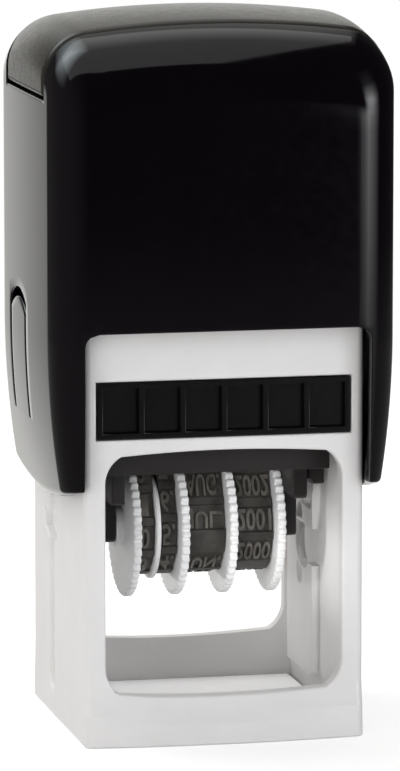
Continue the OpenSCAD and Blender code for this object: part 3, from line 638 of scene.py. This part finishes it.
def frame_edge(m):
    """Finer rounding on the cams and runners inside the frame, none where the plinth fades out."""
    at_corner = abs(m.x) > PLINTH_EDGE and abs(m.y) > CORNER_Y - 0.1
    if at_corner and 0.5 < m.z < PLINTH_TOP + 0.1:
        return 0.0
    return INSIDE_EDGE if abs(m.x) < INSIDE_W and abs(m.y) < INSIDE_D else 1.0


def on_plinth(vert):
    """Whether a vertex lies on the plinth's front or back."""
    return abs(vert.co.y) > PLINTH_EDGE * MM and vert.co.z < (PLINTH_TOP + 0.01) * MM


def on_ledge(face):
    """Whether a face belongs to one of the plinth's upright corners."""
    at = face.calc_center_median() / MM
    outside = abs(at.x) > CORNER_X and abs(at.y) > CORNER_Y
    return outside and 0.01 < at.z < PLINTH_TOP + 0.01 and abs(face.normal.x) < 0.9999


def corner_sheet(bm, side, end):
    """A smooth upright corner from the plinth's bowed front or back to the frame's side."""
    bow = {}
    for v in bm.verts:
        at = v.co / MM
        on_line = abs(at.x - side * CORNER_X) < NEAR and at.y * end > FRAME_HALF_D - NEAR
        if on_line and at.z < PLINTH_TOP + NEAR:
            bow[round(at.z, 3)] = at.y
    heights = sorted(bow)
    verts = []
    for z in heights:
        start = end * (CORNER_Y + PLINTH_OUT * (1 - z / PLINTH_TOP))
        for a in np.radians(np.linspace(0, 90, CORNER_STEPS)):
            x = side * (CORNER_X + FRAME_CORNER_R * math.cos(a))
            y = start + (bow[z] - start) * math.sin(a)
            verts.append(bm.verts.new(Vector((x, y, z)) * MM))
    for q in grid_faces(len(heights), CORNER_STEPS):
        bm.faces.new([verts[k] for k in (q if side * end > 0 else q[::-1])])


def blend_plinth(bm):
    """Makes the plinth's upright corners run smoothly into the frame's, where the CAD has a small ledge."""
    for side in (-1, 1):
        low = [f for f in bm.faces if all(on_plinth(v) for v in f.verts)]
        edges = dict.fromkeys(e for f in low for e in f.edges)
        verts = dict.fromkeys(v for f in low for v in f.verts)
        cut(bm, low + list(edges) + list(verts), (side * CORNER_X * MM, 0, 0), (1, 0, 0))
    bmesh.ops.delete(bm, geom=[f for f in bm.faces if on_ledge(f)], context="FACES")
    bmesh.ops.delete(bm, geom=[v for v in bm.verts if not v.link_faces], context="VERTS")
    for side in (-1, 1):
        for end in (-1, 1):
            corner_sheet(bm, side, end)
    for v in bm.verts:
        at = v.co / MM
        on_line = abs(at.z - PLINTH_TOP) < 0.01 and abs(at.x) > FRAME_HALF_W - NEAR
        if on_line and abs(at.y) > CORNER_Y:
            v.co.y = math.copysign(CORNER_Y * MM, v.co.y)
    bmesh.ops.remove_doubles(bm, verts=bm.verts, dist=CORNER_WELD * MM)


dress("base_frame", WHITE, 0.34, frame_edge, blend_plinth, 46)
dress("ink_tray", CARTRIDGE, 0.1)
dress("yoke_bracket", CARRIER, 0.2)
dress("die_carrier", CARRIER, 0.16)
dress("text_plate", PLATE, 0.12)
dress("band_bar", CARRIER, 0.06)
dress("left_flip_pin", STEEL, 0.15)
dress("right_flip_pin", STEEL, 0.15)
dress("wheel_axle", STEEL, 0.12)

# Thumb wheels

TOOTH_DEPTH, TOOTH_ZONE, TOOTH_SHARP = 0.6, 0.9, 1.8  # the teeth fade out over the zone inside the rim
RIM_EDGE, RIM_BEND = 0.22, 0.07                       # rounding of the rim, and how far its middle lies in
HUB_EDGE, SPACER_EDGE = 0.1, 0.15
STEPS_PER_TOOTH, SPACER_STEPS = 8, 128


def lathe(profile, steps, radius_of=None):
    """Turns a list of (x, radius) about the wheels' axle. radius_of may change a radius by its angle."""
    points = []
    for x, r in profile:
        for k in range(steps):
            a = 2 * math.pi * k / steps
            q = radius_of(r, a) if radius_of else r
            points.append((x, q * math.cos(a), AXLE_Z + q * math.sin(a)))
    return points, grid_faces(len(profile), steps, closed_rows=True, closed_cols=True)


def both_edges(left, right, half):
    """A profile from one edge's points (distance in, radius), mirrored at the other edge."""
    return [(left + x, r) for x, r in half] + [(right - x, r) for x, r in half[::-1]]


def tooth(r, a):
    """Round teeth on the rim, fading out on the wheel's faces."""
    depth = TOOTH_DEPTH * max(0.0, (r - WHEEL_R + TOOTH_ZONE) / TOOTH_ZONE)
    return r - depth * (0.5 - 0.5 * math.cos(WHEEL_TEETH * a)) ** TOOTH_SHARP


def thumb_wheel(node, x, drum_left, drum_right, hub_left=0.0, hub_right=0.0):
    """A toothed rim with rounded edges, its drum, and a hub towards the cheek."""
    left, right = x - WHEEL_T / 2, x + WHEEL_T / 2
    half = [(0, WHEEL_R - TOOTH_ZONE), (0, WHEEL_R - RIM_EDGE)]
    half += [(RIM_BEND, WHEEL_R - RIM_BEND), (RIM_EDGE, WHEEL_R)]
    rim = both_edges(left, right, half)
    before, after = [(left, BORE_R)], [(right, BORE_R)]
    if drum_left < left - NEAR:
        before = [(drum_left, BORE_R), (drum_left, DRUM_R), (left, DRUM_R)]
    if drum_right > right + NEAR:
        after = [(right, DRUM_R), (drum_right, DRUM_R), (drum_right, BORE_R)]
    shoulder = HUB_R - HUB_EDGE
    if hub_left:
        before = [(hub_left, BORE_R), (hub_left, shoulder), (hub_left + HUB_EDGE, HUB_R), (left, HUB_R)]
    if hub_right:
        after = [(right, HUB_R), (hub_right - HUB_EDGE, HUB_R), (hub_right, shoulder), (hub_right, BORE_R)]
    bm = to_bmesh(*lathe(before + rim + after, WHEEL_TEETH * STEPS_PER_TOOTH, tooth))
    add_piece(node + "_toothed", bm, NYLON, node, smooth_angle=42)


def spacer_disc():
    """Plain disc between the two day bands, with rounded edges."""
    half = [(0, SPACER_BORE), (0, SPACER_R - SPACER_EDGE)]
    half += [(SPACER_EDGE / 2, SPACER_R - SPACER_EDGE / 6), (SPACER_EDGE, SPACER_R)]
    profile = both_edges(SPACER_LEFT, SPACER_RIGHT, half)
    bm = to_bmesh(*lathe(profile, SPACER_STEPS))
    add_piece("spacer_disc_rounded", bm, NYLON, "spacer_disc", smooth_angle=50)


thumb_wheel("day_tens_wheel", -9.375, -9.875, -6.65, hub_left=-10.9)
thumb_wheel("day_units_wheel", -3.125, -5.85, -2.625)
thumb_wheel("month_wheel", 3.125, -2.525, 3.625)
thumb_wheel("year_wheel", 9.375, 3.725, 9.875, hub_right=10.9)
spacer_disc()

# Date bands with raised characters

BAND_LEAN = math.asin((BAND_OUT_R - NOSE_OUT_R) / (NOSE_Z - AXLE_Z))
BAND_STRAIGHT = (NOSE_Z - AXLE_Z) * math.cos(BAND_LEAN)
NOSE_ARC = math.pi - 2 * BAND_LEAN
BAND_LENGTH = BAND_OUT_R * (math.pi + 2 * BAND_LEAN) + 2 * BAND_STRAIGHT + NOSE_OUT_R * NOSE_ARC
BAND_STEPS, BAND_EDGE = 150, 0.12
LETTER_H, LETTER_RISE = 2.8, 0.35
LETTER_DRAFT, LETTER_ROOT = 0.07, 0.05  # how the characters widen at their foot, and how deep it is
LETTER_BOLD, LETTER_CUTS = 0.022, 6     # how the strokes are thickened, and cuts that let them bend
CELL_MARGIN, BAR_SLOPE = 0.22, 0.07


def band_point(s, depth):
    """Point (y, z) of a band at a way s along its face, counted upwards from its front,
    and at a depth below the face."""
    s = s % BAND_LENGTH
    wheel, nose = BAND_OUT_R - depth, NOSE_OUT_R - depth
    sine, cosine = math.sin(BAND_LEAN), math.cos(BAND_LEAN)
    arc = BAND_OUT_R * BAND_LEAN
    if s <= arc:
        a = s / BAND_OUT_R
        return -wheel * math.cos(a), AXLE_Z + wheel * math.sin(a)
    s -= arc
    if s <= BAND_STRAIGHT:
        return -wheel * cosine + s * sine, AXLE_Z + wheel * sine + s * cosine
    s -= BAND_STRAIGHT
    if s <= NOSE_OUT_R * NOSE_ARC:
        a = BAND_LEAN + s / NOSE_OUT_R
        return -nose * math.cos(a), NOSE_Z + nose * math.sin(a)
    s -= NOSE_OUT_R * NOSE_ARC
    if s <= BAND_STRAIGHT:
        return nose * cosine + s * sine, NOSE_Z + nose * sine - s * cosine
    a = BAND_LEAN - (s - BAND_STRAIGHT) / BAND_OUT_R
    return wheel * math.cos(a), AXLE_Z + wheel * math.sin(a)


def letters(text, width, height):
    """A bmesh of generic characters, centred, in millimetres, 1 deep and cut across so that it can bend."""
    curve = bpy.data.curves.new("letters", "FONT")
    curve.body = text
    curve.extrude = 0.5
    curve.offset = LETTER_BOLD
    curve.resolution_u = 3
    obj = new_object("letters", curve)
    mesh = evaluated_mesh(obj)
    bm = bmesh.new()
    bm.from_mesh(mesh)
    bpy.data.objects.remove(obj)
    bpy.data.curves.remove(curve)
    bpy.data.meshes.remove(mesh)
    co = np.array([v.co for v in bm.verts])
    low, high = co.min(0), co.max(0)
    for v in bm.verts:
        v.co.x = ((v.co.x - low[0]) / (high[0] - low[0]) - 0.5) * width
        v.co.y = ((v.co.y - low[1]) / (high[1] - low[1]) - 0.5) * height
        v.co.z = v.co.z / (high[2] - low[2]) + 0.5
    for level in np.linspace(-height / 2, height / 2, LETTER_CUTS + 2)[1:-1]:
        geom = bm.verts[:] + bm.edges[:] + bm.faces[:]
        bmesh.ops.bisect_plane(bm, geom=geom, plane_co=(0, level, 0), plane_no=(0, 1, 0))
    return bm


def band_depths(labels):
    """Depth of a band's face below its bars by the way along it: a shallow cell at each label."""
    reach = LETTER_H / 2 + CELL_MARGIN
    cells = [((way - reach) % BAND_LENGTH, (way + reach) % BAND_LENGTH) for _, way in labels]

    def in_cell(w):
        return any(a < w < b if a < b else w > a or w < b for a, b in cells)

    ways = [round(float(w), 4) for w in np.linspace(0, BAND_LENGTH, BAND_STEPS + 1)[:-1]]
    depths = {w: LETTER_RISE if in_cell(w) else 0.0 for w in ways}
    for a, b in cells:
        for end, into in ((a, BAR_SLOPE), (b, -BAR_SLOPE)):
            depths[round((end - into) % BAND_LENGTH, 4)] = 0.0
            depths[round((end + into) % BAND_LENGTH, 4)] = LETTER_RISE
    return depths


def band_belt(node, left, right, labels):
    """The rubber band itself: shallow cells with raised bars between them."""
    depths = band_depths(labels)
    ways = sorted(depths)
    back = BAND_OUT_R - BAND_IN_R
    # Corners of the band's section: place across, whether it follows the cells, and depth
    section = [(left, False, back - BAND_EDGE), (left, True, BAND_EDGE), (left + BAND_EDGE, True, 0)]
    section += [(right - BAND_EDGE, True, 0), (right, True, BAND_EDGE), (right, False, back - BAND_EDGE)]
    section += [(right - BAND_EDGE, False, back), (left + BAND_EDGE, False, back)]
    points = []
    for x, follows, depth in section:
        for w in ways:
            points.append((x, *band_point(w, depth + depths[w] if follows else depth)))
    bm = to_bmesh(points, grid_faces(len(section), len(ways), closed_rows=True, closed_cols=True))
    add_piece(node + "_rubber", bm, BAND, node, smooth_angle=30)


def band_characters(node, middle, labels, width):
    """Characters that stand out of a band's cells, mirrored and turned over as a stamp has them."""
    whole = bmesh.new()
    for text, way in labels:
        word = letters(text, width, LETTER_H)
        for v in word.verts:
            sunk = 1 - v.co.z
            spread = 1.0 + LETTER_DRAFT * sunk
            y, z = band_point(way - v.co.y * spread, sunk * (LETTER_RISE + LETTER_ROOT))
            v.co = Vector((middle + v.co.x * spread, y, z)) * MM
        part = bpy.data.meshes.new("part")
        word.to_mesh(part)
        word.free()
        whole.from_mesh(part)
        bpy.data.meshes.remove(part)
    bmesh.ops.recalc_face_normals(whole, faces=whole.faces)
    add_piece(node + "_characters", whole, LETTER, node, smooth_angle=30)


def date_band(node, left, right, labels, width, shift):
    """A band and its characters. labels are (text, way along the band), shift moves them off its middle."""
    band_belt(node, left, right, labels)
    band_characters(node, (left + right) / 2 + shift, labels, width)


def row(texts, first, pitch):
    """Labels at an even pitch up a band."""
    return [(text, first + pitch * k) for k, text in enumerate(texts)]


# JUN., JUL. and AUG. lie about where the photo has them, with a wider bar below JUL.
MONTHS = ["AUG.", "SEP.", "OCT.", "NOV.", "DEC.", "JAN.", "FEB.", "MAR.", "APR.", "MAY", "JUN."]
UNITS = [f"{k % 10}." for k in range(4, 14)]
YEARS = [str(year) for year in range(2000, 2011)]
date_band("day_tens_band", -8.775, -6.65, row("30123012301", -5.1, 4.35), 1.15, -0.25)
date_band("day_units_band", -5.85, -3.725, row(UNITS, -4.7, 4.36), 1.65, -0.1)
date_band("month_band", -2.525, 2.525, [("JUL.", 1.78)] + row(MONTHS, 6.05, 3.96), 4.5, -0.15)
date_band("year_band", 3.725, 8.775, row(YEARS, -3.2, 4.45), 4.5, 0.0)

# Spring and felt

WIRE_SIDES, STEPS_PER_TURN = 16, 40
FELT_EDGE, FELT_SINK, FELT_WAVE = 0.8, 0.05, 0.04  # rounding, and how far the felt's face lies in and waves


def return_spring():
    """Round wire wound into an even helix."""
    count = SPRING_TURNS * STEPS_PER_TURN
    low, high = SPRING_LOW + WIRE_R, SPRING_HIGH - WIRE_R
    rise = (high - low) / SPRING_TURNS
    slope = math.atan(rise / (2 * math.pi * SPRING_R))
    points = []
    for i in range(count + 1):
        a = 2 * math.pi * i / STEPS_PER_TURN
        centre = np.array([SPRING_R * math.cos(a), SPRING_R * math.sin(a), low + rise * i / STEPS_PER_TURN])
        out = np.array([math.cos(a), math.sin(a), 0])
        up = np.array([math.sin(a) * math.sin(slope), -math.cos(a) * math.sin(slope), math.cos(slope)])
        for k in range(WIRE_SIDES):
            b = 2 * math.pi * k / WIRE_SIDES
            points.append(centre + WIRE_R * (math.cos(b) * out + math.sin(b) * up))
    faces = grid_faces(count + 1, WIRE_SIDES, closed_cols=True)
    faces += [tuple(range(WIRE_SIDES))[::-1], tuple(range(count * WIRE_SIDES, (count + 1) * WIRE_SIDES))]
    bm = to_bmesh(points, faces)
    spring = add_piece("return_spring_wire", bm, STEEL, "return_spring", smooth_angle=50)
    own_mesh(spring)


def ink_pad():
    """Felt block with softened edges and an uneven, fibrous face."""
    low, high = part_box("ink_pad")
    bm = bmesh.new()
    fit_cube(bm, low / MM, high / MM)
    bmesh.ops.bevel(bm, geom=bm.edges[:], offset=FELT_EDGE * MM, segments=4, profile=0.5, affect="EDGES")
    bmesh.ops.subdivide_edges(bm, edges=bm.edges[:], cuts=5, use_grid_fill=True)
    middle = (low + high) / 2
    for v in bm.verts:
        x, y = v.co.x, v.co.y
        wave = math.sin(x * 900 + 1.3) * math.sin(y * 1100 + 0.4)
        wave += 0.5 * math.sin(x * 2300) * math.sin(y * 1900)
        v.co += (middle - v.co).normalized() * (FELT_SINK + FELT_WAVE * wave) * MM
    pad = add_piece("ink_pad_felt", bm, FELT, "ink_pad", smooth_angle=60)


return_spring()
ink_pad()

# Floor

FLOOR_LIT, PAPER_LIT = 0.44, 0.22  # what the camera sees of the two beyond the light they get
PAD_HIGH = 1.85                    # height in millimetres of the paper that is seen inside the frame


def pale(name, low, high, lit):
    """White that the camera sees a little brighter than it is lit."""
    mat, tree, shader = node_material(name)
    tree.links.new(ramp(tree, noise(tree, 40.0), low, high), shader.inputs["Base Color"])
    shader.inputs["Roughness"].default_value = 0.9
    shader.inputs["Specular IOR Level"].default_value = 0.0
    shader.inputs["Emission Color"].default_value = (1, 1, 1, 1)
    seen = light_path(tree, "Is Camera Ray", "Is Glossy Ray", "Is Transmission Ray")
    tree.links.new(link_math(tree, "MULTIPLY", seen, lit), shader.inputs["Emission Strength"])
    return mat


def stage_sheet(name, half, front, back, z, material):
    """A flat sheet of the stage, in metres, that mirrors don't show."""
    mesh = bpy.data.meshes.new(name)
    corners = [(-half, front, z), (half, front, z), (half, back, z), (-half, back, z)]
    mesh.from_pydata(corners, [], [(0, 1, 2, 3)])
    mesh.materials.append(material)
    obj = new_object(name, mesh)
    obj.visible_glossy = False


FLOOR = pale("pale_floor", (0.83, 0.83, 0.83), (0.85, 0.85, 0.85), FLOOR_LIT)
PAPER = pale("paper", (0.86, 0.86, 0.86), (0.88, 0.88, 0.88), PAPER_LIT)
stage_sheet("floor", 0.2, -0.13, 0.3, 0.0, FLOOR)
stage_sheet("paper_pad", 0.0156, -0.0146, 0.0146, PAD_HIGH * MM, PAPER)

# World: what the camera sees, what the gloss mirrors, and the fill

PLAIN, COOL = (1.0, 1.0, 1.0), (0.95, 0.97, 1.0)
ROOM_TINT, FILL_TINT = (1.0, 0.995, 0.965), (1.0, 0.98, 0.965)
RIGHT_TINT, LEFT_TINT = (0.97, 0.98, 1.0), (0.86, 0.97, 1.0)

# Patches of light in the cap's gloss, by stops of (degrees round from the front or up, level)
RIGHT_AROUND = ((14.5, 0), (17, 0.25), (23, 0.45), (30, 0.7), (35, 1.0),
                (41, 0.75), (48, 0.6), (60, 0.22), (68, 0))
RIGHT_ABOVE = (-9, 0.12), (-7.6, 0.18), (-6.8, 0.65), (-4, 1.0), (-2, 1.0), (3, 0)
FLARE_AROUND = (26, 0), (36, 1.0), (46, 1.0), (60, 0.2), (66, 0)
FLARE_ABOVE = (-3, 0), (4, 0.9), (14, 1.0), (24, 0.4), (32, 0.06), (46, 0)
LEFT_AROUND = (-178, 0), (-150, 0.5), (-125, 1.0), (-95, 0.5), (-72, 0)
LEFT_ABOVE = (24, 0), (38, 0.5), (52, 1.0), (66, 0.8), (80, 0.3), (88, 0)
PATCHES = (  # peak level, tint, and stops
    (3.7, RIGHT_TINT, RIGHT_AROUND, RIGHT_ABOVE),
    (4.5, RIGHT_TINT, FLARE_AROUND, FLARE_ABOVE),
    (5.2, LEFT_TINT, LEFT_AROUND, LEFT_ABOVE),
)


def background(tree, colour, strength):
    """A world shader of a colour. strength is a number or a socket."""
    node = tree.nodes.new("ShaderNodeBackground")
    node.inputs["Color"].default_value = (*colour, 1)
    if isinstance(strength, float):
        node.inputs["Strength"].default_value = strength
    else:
        tree.links.new(strength, node.inputs["Strength"])
    return node.outputs[0]


def join(tree, kind, *sockets):
    """A shader node that mixes or adds other shaders."""
    node = tree.nodes.new(kind)
    for socket, value in zip(node.inputs, sockets):
        tree.links.new(value, socket)
    return node.outputs[0]


def level_over(tree, angle, stops):
    """Level over an angle, from stops of (degrees, level)."""
    node = tree.nodes.new("ShaderNodeValToRGB")
    elements = node.color_ramp.elements
    places = [0.5 + degrees / 360 for degrees, _ in stops]
    elements[0].position = places[0]
    elements[1].position = places[-1]
    for place in places[1:-1]:
        elements.new(place)
    for element, (_, level) in zip(elements, stops):
        element.color = (level, level, level, 1)
    turns = link_math(tree, "MULTIPLY_ADD", angle, 1 / (2 * math.pi), 0.5)
    tree.links.new(turns, node.inputs["Fac"])
    return node.outputs["Color"]


def mirrored_room(tree, x, y, z):
    """What the gloss mirrors: a white backdrop, dark in front, a table and patches of light."""
    azimuth = link_math(tree, "ARCTAN2", x, link_math(tree, "MULTIPLY", y, -1.0))
    height = link_math(tree, "ARCSINE", z)

    def glow(peak, tint, around, above):
        across = level_over(tree, azimuth, around)
        level = link_math(tree, "MULTIPLY", across, level_over(tree, height, above))
        return background(tree, tint, link_math(tree, "MULTIPLY", level, peak))

    from_left = span(tree, x, 0.0, 1.1, -0.30, -0.12)
    to_right = span(tree, x, 1.0, 0.95, -0.12, 0.0)
    right_end = span(tree, x, 1.0, 0.0, 0.30, 0.45)
    behind = span(tree, y, 0.0, 1.0, 0.0, 0.3)
    low_down = span(tree, z, 1.0, 0.5, 0.2, 0.5)
    backdrop = from_left
    for part in (to_right, right_end, behind, low_down):
        backdrop = link_math(tree, "MULTIPLY", backdrop, part)
    left = span(tree, x, 0.14, 0.03, -0.9, -0.2)
    table = span(tree, z, 0.16, 0.02, -0.15, -0.12)
    level = link_math(tree, "MAXIMUM", backdrop, link_math(tree, "MAXIMUM", left, table))
    room = background(tree, ROOM_TINT, level)
    for patch in PATCHES:
        room = join(tree, "ShaderNodeAddShader", room, glow(*patch))
    return room


def studio_world():
    """White where the camera sees it, a room where the gloss mirrors it, and an even fill."""
    world = bpy.data.worlds.new("studio")
    bpy.context.scene.world = world
    world.use_nodes = True
    tree = world.node_tree
    tree.nodes.clear()
    coord = tree.nodes.new("ShaderNodeTexCoord")
    axes = tree.nodes.new("ShaderNodeSeparateXYZ")
    tree.links.new(coord.outputs["Generated"], axes.inputs[0])
    x, y, z = (axes.outputs[k] for k in "XYZ")
    from_behind = span(tree, y, 0.20, 0.92, -0.1, 0.6)
    from_left = span(tree, x, 0.52, 0.0, -0.7, -0.1)
    fill = background(tree, FILL_TINT, link_math(tree, "ADD", from_behind, from_left))
    room = mirrored_room(tree, x, y, z)
    unseen = join(tree, "ShaderNodeMixShader", light_path(tree, "Is Glossy Ray"), fill, room)
    seen = light_path(tree, "Is Camera Ray", "Is Transmission Ray")
    surface = join(tree, "ShaderNodeMixShader", seen, unseen, background(tree, PLAIN, 1.0))
    out = tree.nodes.new("ShaderNodeOutputWorld")
    tree.links.new(surface, out.inputs["Surface"])


# Lamps and camera

SPOT_REACH, SPOT_RISE = 0.6, math.radians(4)  # how far from their mark the spots hang, and at what slope
SPOT_BLEND, SPOT_SIZE = 0.6, 0.004
CAMERA_AT, CAMERA_DOWN, CAMERA_TURN = (-0.15143, -0.68635, 0.14891), 8.570, 12.486
SENSOR, LENS = 36.0, 259.36


def softbox(name, at, towards, size, radiance, mirrored, colour=PLAIN, turn=0.0):
    """A rectangular softbox of an even brightness, which faces down if it isn't told where to.
    One that is mirrored shows in the gloss and lights nothing else, the others only light."""
    lamp = bpy.data.lights.new(name, "AREA")
    lamp.shape = "RECTANGLE"
    lamp.size, lamp.size_y = size
    lamp.color = colour
    lamp.energy = radiance * math.pi * size[0] * size[1]
    obj = new_object(name, lamp)
    obj.location = at
    obj.rotation_euler = (0, 0, math.radians(turn))
    if towards:
        obj.rotation_euler = (Vector(towards) - Vector(at)).to_track_quat("-Z", "Y").to_euler()
    obj.visible_camera = False
    obj.visible_glossy = mirrored
    obj.visible_diffuse = not mirrored


def inside_spot(name, around, towards, radius, power):
    """A narrow soft spot from low down into the frame's window, by degrees round from the front."""
    lamp = bpy.data.lights.new(name, "SPOT")
    lamp.energy = power
    lamp.spot_size = 2 * math.atan(radius / SPOT_REACH)
    lamp.spot_blend = SPOT_BLEND
    lamp.shadow_soft_size = SPOT_SIZE
    a = math.radians(around)
    level = math.cos(SPOT_RISE)
    off = Vector((level * math.sin(a), -level * math.cos(a), math.sin(SPOT_RISE))) * SPOT_REACH
    obj = new_object(name, lamp)
    obj.location = Vector(towards) + off
    obj.rotation_euler = (-off).to_track_quat("-Z", "Y").to_euler()
    obj.visible_glossy = False


def camera():
    """Where the photo was taken from, fitted to the frame's and the cap's edges."""
    data = bpy.data.cameras.new("camera")
    data.sensor_width = SENSOR
    data.lens = LENS
    data.clip_start = 0.01
    data.clip_end = 20.0
    obj = new_object("camera", data)
    obj.location = CAMERA_AT
    obj.rotation_euler = (math.radians(90 - CAMERA_DOWN), 0, math.radians(-CAMERA_TURN))
    bpy.context.scene.camera = obj


studio_world()
softbox("overhead", (-0.19, 0.077, 0.735), None, (0.9, 1.0), 0.68, True, turn=-9)
softbox("right_box", (0.36, -0.46, 0.20), (0.02, -0.02, 0.075), (0.40, 0.56), 1.6, False, COOL)
softbox("right_core", (0.365, -0.385, 0.27), (0.02, -0.02, 0.075), (0.16, 0.36), 2.4, False, COOL)
softbox("left_window", (-0.30, 0.165, 0.60), (-0.02, -0.02, 0.09), (0.36, 0.34), 2.4, False)
softbox("left_key", (-0.50, -0.66, 0.09), (0, 0, 0.05), (0.5, 0.3), 3.6, False)
inside_spot("wheel_spot", -20, (0.007, -0.006, 0.027), 0.011, 2.6)
inside_spot("wall_spot", -60, (0.016, -0.009, 0.021), 0.008, 7.0)
inside_spot("back_spot", -166, (-0.0015, 0.002, 0.021), 0.0095, 16.0)
camera()
bpy.context.scene.view_settings.view_transform = "Standard"
